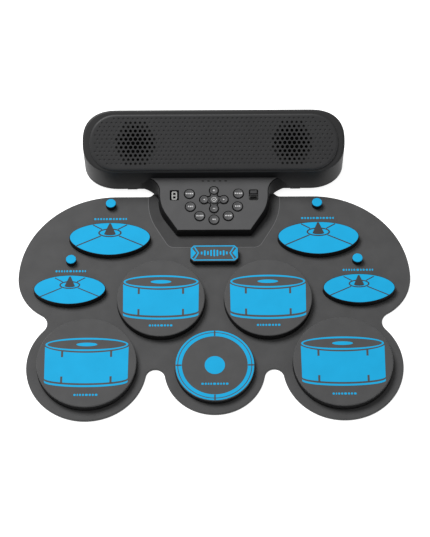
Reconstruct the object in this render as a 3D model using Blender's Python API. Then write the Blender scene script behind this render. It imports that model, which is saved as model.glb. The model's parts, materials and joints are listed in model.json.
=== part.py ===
"""Electronic drum pad: a thin rubber mat with nine playing pads and a speaker and control unit at its rear.

The constants are in millimetres and the meshes in metres. +X is the player's right, +Y points away from
the player and +Z is up. The origin is on the table, below the centre of the whole outline.
"""

import math

import bmesh
import bpy
from mathutils import Vector

MM = 0.001
GAP = 0.3  # between faces of neighbouring pieces

# Mat: every lobe of its outline is an arc, and fillets join the arcs.
MAT_HALF_WIDTH = 230.0
MAT_REAR_Y = 108.0
REAR_LOBE_R = 112.0  # rear corners, around the crash cymbals
SIDE_LOBE_R = 57.5  # sides, around the hi-hat and the ride
FRONT_LOBE_X, FRONT_LOBE_Y, FRONT_LOBE_R = 147.0, -122.0, 69.3
BASS_LOBE_Y, BASS_LOBE_R = -125.7, 58.0
WAIST_FILLET_R = 13.5
NOTCH_FILLET_R = 11.0
# Shallow tab of the mat's rear edge, under the control tongue: half width of its straight part, depth and radii.
TAB_HALF_X, TAB_DEPTH, TAB_CORNER_R, TAB_HOLLOW_R = 70.0, 4.7, 4.2, 8.0
BACKING_TOP = 0.6
SKIN_BOTTOM = BACKING_TOP + GAP
MAT_TOP = 3.0
MAT_EDGE = 0.8  # chamfer of the mat's upper edge
TROUGH_FLOOR = 1.7  # floor of the sunken band around the control unit

# Playing pads: name, centre x, centre y, top height, and a radius or the cymbal's sizes.
PAD_TRAVEL = 0.7
PAD_SINK = 0.1  # depth of a pad's underside below the mat's top, at rest
POCKET_FLOOR = MAT_TOP - PAD_SINK - PAD_TRAVEL - GAP
PAD_EDGE = 0.9  # chamfer of a pad's upper edge
DRUM_TOP, BASS_TOP, CYMBAL_TOP = 12.5, 10.5, 10.6
CRASH = (48.1, 25.0, 20.4)  # half width, depth of the front half, depth of the rear half
HI_HAT = (42.1, 20.8, 18.8)
PADS = (
    ("pad_snare", -146.6, -121.4, DRUM_TOP, 57.3),
    ("pad_floor_tom", 146.6, -121.4, DRUM_TOP, 57.3),
    ("pad_high_tom", -62.3, -37.0, DRUM_TOP, 51.2),
    ("pad_low_tom", 62.3, -37.0, DRUM_TOP, 51.2),
    ("pad_bass", 0.0, -125.2, BASS_TOP, 45.7),
    ("pad_crash_left", -123.4, 46.8, CYMBAL_TOP, CRASH),
    ("pad_crash_right", 123.4, 46.8, CYMBAL_TOP, CRASH),
    ("pad_hi_hat", -168.8, -23.7, CYMBAL_TOP, HI_HAT),
    ("pad_ride", 168.8, -23.7, CYMBAL_TOP, HI_HAT),
)
STUD_R, STUD_TOP = 6.0, 10.2
STUDS = (
    ("stud_crash_left", -123.2, 94.8),
    ("stud_crash_right", 123.2, 94.8),
    ("stud_hi_hat", -168.5, 17.1),
    ("stud_ride", 168.5, 17.1),
)
BADGE_HALF_X, BADGE_HALF_Y, BADGE_Y, BADGE_TOP = 28.5, 11.2, 23.6, 11.5
BADGE_CORNER = 4.2

# Sensing film between the mat's two sheets: round sensing areas on the ends of narrow tails.
FILM_TOP = SKIN_BOTTOM + GAP
FILM_SENSOR_R = 16.0
FILM_TAIL_W = 7.0
FILM_REAR_Y = 112.0
FILM_RISER_Y, FILM_RISER_HALF_X, FILM_RISER_T, FILM_RISER_TOP = 100.0, 10.0, 0.6, 10.4

# Speaker bar: a stadium in plan with a tilted top face. Each plan is its half width, its front and rear edges,
# and the length and the fullness of its ends; half ellipses have a fullness of 2.
BAR_FRONT_Y, BAR_REAR_Y = 120.2, 191.2
BAR_TOP_FRONT_Y, BAR_TOP_REAR_Y = 121.9, 188.8
BAR_FOOT_PLAN = (156.0, BAR_FRONT_Y, BAR_REAR_Y, 41.7, 2.1)
BAR_TOP_PLAN = (156.45, BAR_TOP_FRONT_Y, BAR_TOP_REAR_Y, 43.3, 2.5)
BAR_RIM_Z = 35.5  # height of the top face at its front edge
BAR_TILT = math.radians(28.0)
BAR_EDGE_R = 3.5  # rounding of the rim at the rear and the ends
BAR_EDGE_FRONT = 0.4  # share of the rounding that the front edge has
BAR_EDGE_STEPS = 3
BASE_BOTTOM, BASE_TOP = 1.0, 4.3
SHELL_BOTTOM = BASE_TOP + GAP
WALL = 2.4

# Control tongue: it runs from the bar towards the player, with flared sides and its own tilted top face.
TONGUE_FRONT_Y = 54.5
TONGUE_FRONT_HALF_X = 43.5
TONGUE_KINK = (57.6, 75.4)  # where the straight flank starts to curve
TONGUE_HALF_X = 65.0
TONGUE_DRAFT = 1.5  # how far the foot stands out beyond the top face
# Flares, where the tongue widens into the bar: start y, reach in x and in y, and fullness.
FLARE_TOP = (104.0, 18.0, 18.0, 2.0)
FLARE_FOOT = (103.0, 23.5, 18.0, 1.5)
TONGUE_RIM_Z = 12.2  # height of the top face at its front edge
TONGUE_TILT = math.radians(9.7)
TONGUE_EDGE = 0.8
TONGUE_CORNER_R = 2.0
TONGUE_REAR_Y = 136.0  # inside the bar
TONGUE_UNDERSIDE = TROUGH_FLOOR + GAP

# Sunken band of the mat around the tongue.
# Front edge, front half width, kink, half width and corner radius of the band's upper edge and of its foot.
TROUGH_LIP = (37.4, 52.7, (68.0, 64.0), 77.5, 10.0)
TROUGH_FOOT = (51.6, 45.4, (60.4, 74.0), 68.0, 3.0)
TROUGH_REAR_Y = 125.0

# Speakers and their grille, in the plane of the bar's top face (x, distance up the slope, height).
GRILLE_HALF_X, GRILLE_END_RX, GRILLE_FULLNESS = 148.3, 33.5, 2.15
GRILLE_S0, GRILLE_S1 = 1.8, 69.3
GRILLE_T, GRILLE_EDGE_X, GRILLE_EDGE_Z = 2.2, 2.6, 1.5
HOLE_PITCH = 5.65
HOLE_ROW = HOLE_PITCH * math.sqrt(3) / 2
HOLE_R = 1.45
SPEAKER_X, SPEAKER_S = 16.5 * HOLE_PITCH, 34.5
SPEAKER_HOLE_R = 21.0
CLUSTER_ROWS = 5  # rows of holes on each side of a cluster's middle row

# Controls, in the plane of the tongue's top face (x, distance up the slope, height).
BUTTON_TRAVEL = 1.0
BUTTON_HALF = ((29.2, 46.8), (28.1, 30.3), (17.0, 18.2))
BUTTONS = (
    *((-x, s) for x, s in BUTTON_HALF),
    (0.0, 13.5),
    *reversed(BUTTON_HALF),
)
BUTTON_R, DPAD_KEY_R, POWER_R = 5.5, 4.7, 5.2
DPAD_S, DPAD_REACH = 39.3, 11.7
DPAD_KEYS = (("up", 0, 1), ("down", 0, -1), ("left", -1, 0), ("right", 1, 0))
DPAD_RECESS_R, DPAD_HUB_R, DPAD_RECESS_DEPTH = 5.8, 8.2, 0.8
CAP_CLEAR = 0.3
FLANGE_OUT = 0.8
STEM_R = 3.0
STEM_BOTTOM = -4.0
SHEET_TOP, SHEET_BOTTOM = -5.7, -6.6
PEDESTAL_TOP = STEM_BOTTOM - BUTTON_TRAVEL - GAP
BOARD_TOP = -6.9
WINDOW_X, WINDOW_S, WINDOW_HALF_X, WINDOW_HALF_S = -47.2, 45.4, 5.1, 6.2
SWITCH_X, SWITCH_S, SWITCH_HALF_X, SWITCH_HALF_S = 47.2, 45.5, 4.6, 6.0
SWITCH_TRAVEL = 3.4
SWITCH_CAP_HALF_S = SWITCH_HALF_S - GAP - SWITCH_TRAVEL / 2

# Case fasteners and feet.
SCREWS = tuple((side * x, y) for x, y in ((134.0, 138.0), (134.0, 173.0), (38.5, 63.5)) for side in (-1, 1))
SCREW_HEAD_R, SCREW_SHANK_R, SCREW_TIP_Z = 2.75, 1.4, 10.5
SCREW_HEAD_TOP = 3.3
BOSS_R = 3.6
FEET = tuple((side * 98.0, y) for y in (126.2, 183.0) for side in (-1, 1))
FOOT_HALF_X, FOOT_HALF_Y, FOOT_TOP = 6.0, 4.4, 3.2
FOOT_NOTCH_FORWARD = 6.0  # the front feet's notches break through the wall

# Sockets on a small board behind the rear wall: name, x, opening half width and half height.
JACK_Z = 14.0
JACKS = (
    ("usb_port", -52.0, 4.3, 1.7),
    ("headphone_jack", -26.0, 1.8, 1.8),
    ("audio_in_jack", 0.0, 1.8, 1.8),
    ("kick_pedal_jack", 26.0, 1.8, 1.8),
    ("hi_hat_pedal_jack", 52.0, 1.8, 1.8),
)
JACK_FRONT_Y, JACK_SHOULDER_Y, JACK_MOUTH_Y = 172.0, 185.0, 189.6
BARREL_WALL = 1.2
BOARD_T = 1.6
IO_BOARD_Y, IO_BOARD_HALF_X, IO_BOARD_HALF_Y, IO_BOARD_TOP = 177.0, 66.0, 7.5, 10.1
BATTERY_Y, BATTERY_HALF_X, BATTERY_HALF_Y, BATTERY_TOP = 146.0, 31.0, 18.0, 14.0


def clear_scene():
    for obj in list(bpy.data.objects):
        bpy.data.objects.remove(obj, do_unlink=True)


def material(name, colour, roughness, metallic=0.0):
    mat = bpy.data.materials.new(name)
    mat.use_nodes = True
    shader = mat.node_tree.nodes["Principled BSDF"]
    shader.inputs["Base Color"].default_value = (*colour, 1.0)
    shader.inputs["Roughness"].default_value = roughness
    shader.inputs["Metallic"].default_value = metallic
    return mat


def make_materials():
    looks = {
        "mat_rubber": ((0.085, 0.085, 0.087), 0.75),
        "backing_rubber": ((0.03, 0.03, 0.03), 0.85),
        "pad_rubber": ((0.014, 0.014, 0.015), 0.7),
        "blue_print": ((0.022, 0.42, 0.82), 0.5),
        "case_plastic": ((0.042, 0.043, 0.045), 0.55),
        "key_rubber": ((0.12, 0.12, 0.122), 0.5),
        "board_green": ((0.02, 0.16, 0.06), 0.5),
        "film_amber": ((0.55, 0.3, 0.05), 0.4),
        "lens_dark": ((0.01, 0.01, 0.012), 0.1),
        "cone_paper": ((0.02, 0.02, 0.02), 0.9),
        "foot_rubber": ((0.01, 0.01, 0.01), 0.8),
        "steel": ((0.5, 0.5, 0.5), 0.35, 1.0),
        "cell_foil": ((0.6, 0.6, 0.6), 0.4, 1.0),
    }
    return {name: material(name, *look) for name, look in looks.items()}


# ---------------------------------------------------------------- outlines


def arc(cx, cy, r, start, end, step=9.0):
    """Points on an arc, both ends included, with angles in degrees and a point at least every step."""
    count = max(2, math.ceil(abs(end - start) / step))
    angles = [math.radians(start + (end - start) * i / count) for i in range(count + 1)]
    return [(cx + r * math.cos(a), cy + r * math.sin(a)) for a in angles]


def outside_fillet(a, ra, b, rb, r, sign):
    """Centre of the circle of radius r that touches two circles from outside, on the chosen side."""
    ax, ay = a
    dx, dy = b[0] - ax, b[1] - ay
    d = math.hypot(dx, dy)
    along = ((ra + r) ** 2 - (rb + r) ** 2 + d * d) / (2 * d)
    across = math.sqrt((ra + r) ** 2 - along**2) * sign
    ux, uy = dx / d, dy / d
    return ax + ux * along - uy * across, ay + uy * along + ux * across


def direction(a, b):
    return math.degrees(math.atan2(b[1] - a[1], b[0] - a[0]))


def mirrored(right):
    """A closed outline from its right half, whose first and last points may lie on the centre line."""
    left = [(-x, y) for x, y in reversed(right) if x > 1e-6]
    return right + left


def mat_outline(inset=0.0):
    """The mat's outline, clockwise from the rear, moved inwards by inset."""
    rear = (MAT_HALF_WIDTH - REAR_LOBE_R, MAT_REAR_Y - REAR_LOBE_R)
    side = (MAT_HALF_WIDTH - SIDE_LOBE_R, rear[1])
    front = (FRONT_LOBE_X, FRONT_LOBE_Y)
    bass = (0.0, BASS_LOBE_Y)
    waist = outside_fillet(side, SIDE_LOBE_R, front, FRONT_LOBE_R, WAIST_FILLET_R, 1)
    notch = outside_fillet(front, FRONT_LOBE_R, bass, BASS_LOBE_R, NOTCH_FILLET_R, 1)
    span = TAB_CORNER_R + TAB_HOLLOW_R
    turn = math.acos(1 - TAB_DEPTH / span)
    hollow_x = TAB_HALF_X + span * math.sin(turn)
    turn = math.degrees(turn)
    right = arc(TAB_HALF_X, MAT_REAR_Y + TAB_DEPTH - TAB_CORNER_R, TAB_CORNER_R - inset, 90, 90 - turn, 18)
    right += arc(hollow_x, MAT_REAR_Y + TAB_HOLLOW_R, TAB_HOLLOW_R + inset, 270 - turn, 270, 18)[1:]
    right += arc(*rear, REAR_LOBE_R - inset, 90, 0)
    right += arc(*side, SIDE_LOBE_R - inset, 0, direction(side, waist))[1:]
    start, end = direction(waist, side), direction(waist, front) + 360
    right += arc(*waist, WAIST_FILLET_R + inset, start, end, 18)[1:]
    right += arc(*front, FRONT_LOBE_R - inset, direction(front, waist), direction(front, notch))[1:]
    right += arc(*notch, NOTCH_FILLET_R + inset, direction(notch, front), direction(notch, bass), 20)[1:]
    right += arc(*bass, BASS_LOBE_R - inset, direction(bass, notch), -90)[1:]
    return mirrored(right)


def disc(r, count):
    return [(r * math.cos(math.tau * i / count), r * math.sin(math.tau * i / count)) for i in range(count)]


def cymbal(half_x, front, rear, count):
    """A disc seen at a slant: a fuller, slightly pointed front half and a flatter rear half."""
    points = []
    for i in range(count):
        a = math.tau * i / count
        c, s = math.cos(a), math.sin(a)
        power, depth = (1.0, rear) if s >= 0 else (2 / 1.85, front)
        points.append((half_x * math.copysign(abs(c) ** power, c), depth * math.copysign(abs(s) ** power, s)))
    return points


def pad_outline(shape, grow=0.0):
    if isinstance(shape, tuple):
        half_x, front, rear = shape
        return cymbal(half_x + grow, front + grow, rear + grow, 32)
    return disc(shape + grow, 36)


def superellipse(rx, ry, fullness, start, end, steps):
    """Points of an ellipse with a fullness other than 2, between two angles in degrees."""
    points = []
    for i in range(steps + 1):
        a = math.radians(start + (end - start) * i / steps)
        c, s = math.cos(a), math.sin(a)
        x = rx * math.copysign(abs(c) ** (2 / fullness), c)
        points.append((x, ry * math.copysign(abs(s) ** (2 / fullness), s)))
    return points


def round_corner(before, corner, after, r, steps):
    """The points that replace a corner by an arc of radius r."""
    p = Vector(corner)
    a, b = (Vector(before) - p).normalized(), (Vector(after) - p).normalized()
    half = a.angle(b) / 2
    centre = p + (a + b).normalized() * (r / math.sin(half))
    start, end = p + a * (r / math.tan(half)) - centre, p + b * (r / math.tan(half)) - centre
    turn = start.angle_signed(end)
    points = []
    for i in range(steps + 1):
        t = -turn * i / steps
        c, s = math.cos(t), math.sin(t)
        points.append((centre.x + start.x * c - start.y * s, centre.y + start.x * s + start.y * c))
    return points


def flank(front_y, front_x, kink, half_x, corner_r, inset=0.0):
    """Right side of a tongue: a rounded front corner, a straight flank, and an arc that ends along +Y."""
    lean = math.atan2(kink[1] - front_y, kink[0] - front_x)
    turn = math.pi / 2 - lean
    r = (half_x - kink[0]) / (1 - math.cos(turn))
    centre = (half_x - r, kink[1] + r * math.sin(turn))
    foot = (kink[0] - inset * math.sin(lean), kink[1] + inset * math.cos(lean))
    corner_y = front_y + inset
    corner = (foot[0] - (foot[1] - corner_y) / math.tan(lean), corner_y)
    points = round_corner((0.0, corner_y), corner, foot, corner_r, 4)
    return points + arc(*centre, r - inset, -math.degrees(turn), 0)


def tongue_outline(inset=0.0, flare=FLARE_TOP):
    """The tongue from its front corners through its flares into the bar."""
    right = flank(TONGUE_FRONT_Y, TONGUE_FRONT_HALF_X, TONGUE_KINK, TONGUE_HALF_X, TONGUE_CORNER_R, inset)
    y0, reach_x, reach_y, fullness = flare
    x0 = TONGUE_HALF_X - inset
    for x, y in superellipse(reach_x + inset, reach_y + inset, fullness, 180, 90, 6):
        right.append((x0 + reach_x + inset + x, y0 + y))
    right.append((x0 + reach_x + inset, TONGUE_REAR_Y + inset))
    return mirrored(right)


def trough_outline(front_y, front_x, kink, half_x, corner_r):
    right = flank(front_y, front_x, kink, half_x, corner_r)
    right.append((half_x, TROUGH_REAR_Y))
    return mirrored(right)


def stadium(half_x, y0, y1, end_rx, fullness, steps=16):
    """A long shape between y0 and y1 with rounded ends that are end_rx long."""
    cy, ry, cx = (y0 + y1) / 2, (y1 - y0) / 2, half_x - end_rx
    return mirrored([(cx + x, cy + y) for x, y in superellipse(end_rx, ry, fullness, -90, 90, steps)])


def rectangle(cx, cy, hx, hy):
    return [(cx - hx, cy - hy), (cx + hx, cy - hy), (cx + hx, cy + hy), (cx - hx, cy + hy)]


# ---------------------------------------------------------------- meshes and objects


def bar_top(y):
    return BAR_RIM_Z + (y - BAR_TOP_FRONT_Y) * math.tan(BAR_TILT)


def tongue_top(y):
    return TONGUE_RIM_Z + (y - TONGUE_FRONT_Y) * math.tan(TONGUE_TILT)


def inset_plan(half_x, front, rear, end_rx, fullness, inset, share=1.0):
    """A stadium moved inwards by inset, and by a share of it at its front edge."""
    return stadium(half_x - inset, front + inset * share, rear - inset, end_rx - inset, fullness)


def bar_foot_ring(inset=0.0):
    return level(inset_plan(*BAR_FOOT_PLAN, inset), SHELL_BOTTOM)


def bar_top_ring(inset=0.0, drop=0.0, share=1.0):
    """A ring of the tilted top face, lowered by drop, with a share of both at its front edge."""
    ring = []
    for x, y in inset_plan(*BAR_TOP_PLAN, inset, share):
        rearward = (y - BAR_TOP_FRONT_Y) / (BAR_TOP_REAR_Y - BAR_TOP_FRONT_Y)
        ring.append((x, y, bar_top(y) - drop * (share + (1 - share) * rearward)))
    return ring


def level(outline, z):
    return [(x, y, z) for x, y in outline]


def tongue_ring(inset, drop):
    return [(x, y, tongue_top(y) - drop) for x, y in tongue_outline(inset)]


def add_loft(bm, rings):
    """A closed body through rings of equal point count, flat at both ends."""
    loops = [[bm.verts.new(Vector(p) * MM) for p in ring] for ring in rings]
    bm.faces.new(loops[0][::-1])
    bm.faces.new(loops[-1])
    for lower, upper in zip(loops, loops[1:]):
        for i in range(len(lower)):
            j = (i + 1) % len(lower)
            bm.faces.new((lower[i], lower[j], upper[j], upper[i]))


def add_prism(bm, outline, z0, z1):
    add_loft(bm, [level(outline, z0), level(outline, z1)])


def add_turned(bm, profile, steps, x=0.0, y=0.0):
    """A body turned about the vertical line through x, y, from (radius, z) points along its outside."""
    verts = [bm.verts.new(Vector((x + r, y, z)) * MM) for r, z in profile]
    edges = [bm.edges.new(pair) for pair in zip(verts, verts[1:])]
    if profile[0] != profile[-1] and profile[0][0] > 0:
        edges.append(bm.edges.new((verts[-1], verts[0])))
    centre = Vector((x, y, 0.0)) * MM
    spun = bmesh.ops.spin(
        bm, geom=verts + edges, cent=centre, axis=(0, 0, 1), angle=math.tau, steps=steps, use_merge=True
    )
    touched = {v for v in bm.verts if any(not e.is_manifold for e in v.link_edges)}
    touched.update(v for v in spun["geom_last"] if isinstance(v, bmesh.types.BMVert) and v.is_valid)
    bmesh.ops.remove_doubles(bm, verts=list(touched), dist=1e-6)


def new_object(name, bm, mat=None, location=(0, 0, 0), parent=None):
    """An object from a bmesh, smooth where it is round."""
    bmesh.ops.recalc_face_normals(bm, faces=bm.faces)
    mesh = bpy.data.meshes.new(name)
    bm.to_mesh(mesh)
    bm.free()
    mesh.shade_smooth()
    mesh.set_sharp_from_angle(angle=math.radians(35))
    obj = bpy.data.objects.new(name, mesh)
    bpy.context.scene.collection.objects.link(obj)
    obj.location = Vector(location) * MM
    obj.parent = parent
    if mat:
        mesh.materials.append(mat)
    return obj


def loft_object(name, rings, mat=None, **place):
    bm = bmesh.new()
    add_loft(bm, rings)
    return new_object(name, bm, mat, **place)


def prism_object(name, outline, z0, z1, mat=None, **place):
    return loft_object(name, [level(outline, z0), level(outline, z1)], mat, **place)


def turned_object(name, profile, steps, mat=None, **place):
    bm = bmesh.new()
    add_turned(bm, profile, steps)
    return new_object(name, bm, mat, **place)


def tool(obj):
    """Marks an object that only shapes another one."""
    obj.hide_render = True
    obj.display_type = "WIRE"
    return obj


def combine(obj, other, operation):
    modifier = obj.modifiers.new(f"{operation.lower()}_{other.name}", "BOOLEAN")
    modifier.operation = operation
    modifier.object = tool(other)
    modifier.solver = "EXACT"


def slope_frame(name, y, z, tilt):
    """An empty whose x is the slope's width, y runs up the slope and z is its normal."""
    empty = bpy.data.objects.new(name, None)
    bpy.context.scene.collection.objects.link(empty)
    empty.location = Vector((0.0, y, z)) * MM
    empty.rotation_euler = (tilt, 0.0, 0.0)
    return empty


# ---------------------------------------------------------------- mat


def film_pieces(grow):
    """The sensing film's tails and sensing areas in plan, as outlines."""
    half = FILM_TAIL_W / 2 + grow
    centre = {name: Vector((x, y)) for name, x, y, _, _ in PADS}
    rear, front = FILM_REAR_Y, centre["pad_bass"].y
    pieces = [rectangle(0.0, (rear + front) / 2, half, (rear - front) / 2)]
    for name in ("pad_crash_right", "pad_ride"):
        pieces.append(rectangle(0.0, centre[name].y, centre[name].x, half))
    for tom, lobe in (("pad_high_tom", "pad_snare"), ("pad_low_tom", "pad_floor_tom")):
        start, end = centre[tom], centre[lobe]
        across = (end - start).orthogonal().normalized() * half
        pieces.append([tuple(p) for p in (start + across, end + across, end - across, start - across)])
    for _, x, y, _, shape in PADS:
        r = 0.8 * FILM_SENSOR_R if isinstance(shape, tuple) else FILM_SENSOR_R
        pieces.append([(x + px, y + py) for px, py in disc(r + grow, 12)])
    return pieces


def film_body(name, grow, z0, z1, mat=None):
    pieces = film_pieces(grow)
    body = prism_object(name, pieces[0], z0, z1, mat)
    for i, outline in enumerate(pieces[1:]):
        combine(body, prism_object(f"{name}_part_{i}", outline, z0, z1), "UNION")
    return body


def make_mat(mats):
    prism_object("mat_backing", mat_outline(), 0.0, BACKING_TOP, mats["backing_rubber"])
    rings = [
        level(mat_outline(), SKIN_BOTTOM),
        level(mat_outline(), MAT_TOP - MAT_EDGE),
        level(mat_outline(MAT_EDGE), MAT_TOP),
    ]
    skin = loft_object("mat_skin", rings, mats["mat_rubber"])
    foot, lip = trough_outline(*TROUGH_FOOT), trough_outline(*TROUGH_LIP)
    above = 1.0  # cutters pass the face they cut by this much
    rings = [level(foot, TROUGH_FLOOR), level(lip, MAT_TOP), level(lip, MAT_TOP + above)]
    combine(skin, loft_object("cut_trough", rings), "DIFFERENCE")
    bm = bmesh.new()
    for _, x, y, _, shape in PADS:
        outline = [(x + px, y + py) for px, py in pad_outline(shape, GAP)]
        add_prism(bm, outline, POCKET_FLOOR, MAT_TOP + above)
    combine(skin, new_object("cut_pockets", bm), "DIFFERENCE")
    combine(skin, film_body("cut_film", GAP, SKIN_BOTTOM - above, FILM_TOP + GAP), "DIFFERENCE")
    film = film_body("sensor_film", 0.0, SKIN_BOTTOM, FILM_TOP, mats["film_amber"])
    riser = rectangle(0.0, FILM_RISER_Y, FILM_RISER_HALF_X, FILM_RISER_T / 2)
    foot_pad = rectangle(0.0, FILM_RISER_Y, FILM_RISER_HALF_X, FILM_TAIL_W / 2)
    combine(film, prism_object("film_foot", foot_pad, SKIN_BOTTOM, FILM_TOP), "UNION")
    combine(film, prism_object("film_riser", riser, SKIN_BOTTOM, FILM_RISER_TOP), "UNION")
    slot = rectangle(0.0, FILM_RISER_Y, FILM_RISER_HALF_X + GAP, FILM_RISER_T / 2 + GAP)
    foot_slot = rectangle(0.0, FILM_RISER_Y, FILM_RISER_HALF_X + GAP, FILM_TAIL_W / 2 + GAP)
    combine(skin, prism_object("cut_film_foot", foot_slot, SKIN_BOTTOM - above, FILM_TOP + GAP), "DIFFERENCE")
    combine(skin, prism_object("cut_riser_slot", slot, SKIN_BOTTOM - above, MAT_TOP + above), "DIFFERENCE")


def make_pads(mats):
    bottom = -PAD_SINK
    for name, x, y, top, shape in PADS:
        height = top - MAT_TOP
        rings = [
            level(pad_outline(shape), bottom),
            level(pad_outline(shape), height - PAD_EDGE),
            level(pad_outline(shape, -PAD_EDGE), height),
        ]
        loft_object(name, rings, mats["pad_rubber"], location=(x, y, MAT_TOP))


def make_studs(mats):
    for name, x, y in STUDS:
        height = STUD_TOP - MAT_TOP
        profile = [(0, GAP), (STUD_R, GAP), (STUD_R, height - 0.6), (STUD_R - 0.6, height), (0, height)]
        turned_object(name, profile, 16, mats["blue_print"], location=(x, y, MAT_TOP))


def make_badge(mats):
    hx, hy, c = BADGE_HALF_X, BADGE_HALF_Y, BADGE_CORNER
    height = BADGE_TOP - MAT_TOP

    def ring(inset, z):
        x, y = hx - inset, hy - inset
        corners = [(x - c, -y), (x, c - y), (x, y - c), (x - c, y)]
        return [(px, py, z) for px, py in corners + [(-px, py) for px, py in reversed(corners)]]

    rings = [ring(0, GAP), ring(0, height - 0.8), ring(0.8, height)]
    loft_object("badge_block", rings, mats["pad_rubber"], location=(0, BADGE_Y, MAT_TOP))


# ---------------------------------------------------------------- case


def make_case(mats, bar_face, tongue_face):
    bar_rings = [bar_foot_ring()]
    for i in range(BAR_EDGE_STEPS + 1):
        turn = math.pi / 2 * i / BAR_EDGE_STEPS
        inset, drop = BAR_EDGE_R * (1 - math.cos(turn)), BAR_EDGE_R * (1 - math.sin(turn))
        bar_rings.append(bar_top_ring(inset, drop, BAR_EDGE_FRONT))
    shell = loft_object("housing_upper", bar_rings, mats["case_plastic"])
    tongue_rings = [
        level(tongue_outline(-TONGUE_DRAFT, FLARE_FOOT), SHELL_BOTTOM),
        tongue_ring(0, TONGUE_EDGE),
        tongue_ring(TONGUE_EDGE, 0),
    ]
    combine(shell, loft_object("join_tongue", tongue_rings), "UNION")
    cut_bottom = SHELL_BOTTOM - 1.0
    bar_roof = WALL / math.cos(BAR_TILT)
    tongue_roof = WALL / math.cos(TONGUE_TILT)
    foot = bar_foot_ring(WALL)
    below = [(x, y, cut_bottom) for x, y, _ in foot]
    bar_hollow = [below, foot, bar_top_ring(WALL, bar_roof)]
    combine(shell, loft_object("cut_bar_hollow", bar_hollow), "DIFFERENCE")
    hollow = [level(tongue_outline(WALL), cut_bottom), tongue_ring(WALL, tongue_roof)]
    combine(shell, loft_object("cut_tongue_hollow", hollow), "DIFFERENCE")
    bm = bmesh.new()
    for x, y in SCREWS:
        roof = bar_top(y - BOSS_R) if y > BAR_FRONT_Y else tongue_top(y - BOSS_R)
        top = roof - WALL / 3
        add_turned(bm, [(0, SHELL_BOTTOM), (BOSS_R, SHELL_BOTTOM), (BOSS_R, top), (0, top)], 10, x, y)
    combine(shell, new_object("join_bosses", bm), "UNION")
    bm = bmesh.new()
    pilot, end = SCREW_SHANK_R + GAP, SCREW_TIP_Z + GAP
    for x, y in SCREWS:
        add_turned(bm, [(0, cut_bottom), (pilot, cut_bottom), (pilot, end), (0, end)], 8, x, y)
    combine(shell, new_object("cut_pilot_holes", bm), "DIFFERENCE")
    cut_panel(shell, tongue_face)
    cut_speaker_holes(shell, bar_face)
    combine(shell, jack_bodies("cut_jack_holes", GAP), "DIFFERENCE")
    make_base(mats)


def cut_panel(shell, face):
    """Openings in the tongue's top face: the cross-shaped recess, key holes, window and switch slot."""
    over = 2.0
    hub = prism_object("cut_cross_hub", disc(DPAD_HUB_R, 20), -DPAD_RECESS_DEPTH, over)
    hub.parent = face
    hub.location = Vector((0, DPAD_S, 0)) * MM
    for name, dx, dy in DPAD_KEYS:
        lobe = prism_object(f"cut_cross_{name}", disc(DPAD_RECESS_R, 16), -DPAD_RECESS_DEPTH, over)
        lobe.parent = face
        lobe.location = Vector((dx * DPAD_REACH, DPAD_S + dy * DPAD_REACH, 0)) * MM
        combine(hub, lobe, "UNION")
    combine(shell, hub, "DIFFERENCE")
    bm = bmesh.new()
    through = -WALL - over
    for _, x, s, r in keys():
        outline = [(x + px, s + py) for px, py in disc(r + CAP_CLEAR, 16)]
        add_prism(bm, outline, through, over)
    add_prism(bm, rectangle(WINDOW_X, WINDOW_S, WINDOW_HALF_X, WINDOW_HALF_S), through, over)
    add_prism(bm, rectangle(SWITCH_X, SWITCH_S, SWITCH_HALF_X, SWITCH_HALF_S), through, over)
    combine(shell, new_object("cut_key_holes", bm, parent=face), "DIFFERENCE")


def cut_speaker_holes(shell, face):
    bm = bmesh.new()
    for side in (-1, 1):
        outline = [(side * SPEAKER_X + px, SPEAKER_S + py) for px, py in disc(SPEAKER_HOLE_R, 24)]
        add_prism(bm, outline, -WALL - 2.0, 2.0)
    combine(shell, new_object("cut_speaker_holes", bm, parent=face), "DIFFERENCE")


def make_base(mats):
    """Floor of the case: lower under the bar, and raised under the tongue, which stands on the mat."""
    base = prism_object("housing_base", stadium(*BAR_FOOT_PLAN), BASE_BOTTOM, BASE_TOP, mats["case_plastic"])
    tongue = prism_object("join_base_tongue", tongue_outline(-TONGUE_DRAFT), TONGUE_UNDERSIDE, BASE_TOP)
    combine(base, tongue, "UNION")
    bm = bmesh.new()
    below = 1.0
    for x, y in SCREWS:
        seat = SCREW_HEAD_TOP + GAP
        profile = [
            (0, BASE_BOTTOM - below),
            (SCREW_HEAD_R + GAP, BASE_BOTTOM - below),
            (SCREW_HEAD_R + GAP, seat),
            (SCREW_SHANK_R + GAP, seat),
            (SCREW_SHANK_R + GAP, BASE_TOP + below),
            (0, BASE_TOP + below),
        ]
        add_turned(bm, profile, 12, x, y)
    for x, y in FEET:
        forward = FOOT_NOTCH_FORWARD if y < (BAR_FRONT_Y + BAR_REAR_Y) / 2 else 0.0
        half_y = FOOT_HALF_Y + GAP + forward / 2
        notch = rectangle(x, y - forward / 2, FOOT_HALF_X + GAP, half_y)
        add_prism(bm, notch, BASE_BOTTOM - below, FOOT_TOP + GAP)
    riser = rectangle(0.0, FILM_RISER_Y, FILM_RISER_HALF_X + GAP, FILM_RISER_T / 2 + GAP)
    add_prism(bm, riser, BASE_BOTTOM - below, BASE_TOP + below)
    combine(base, new_object("cut_base", bm), "DIFFERENCE")


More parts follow.
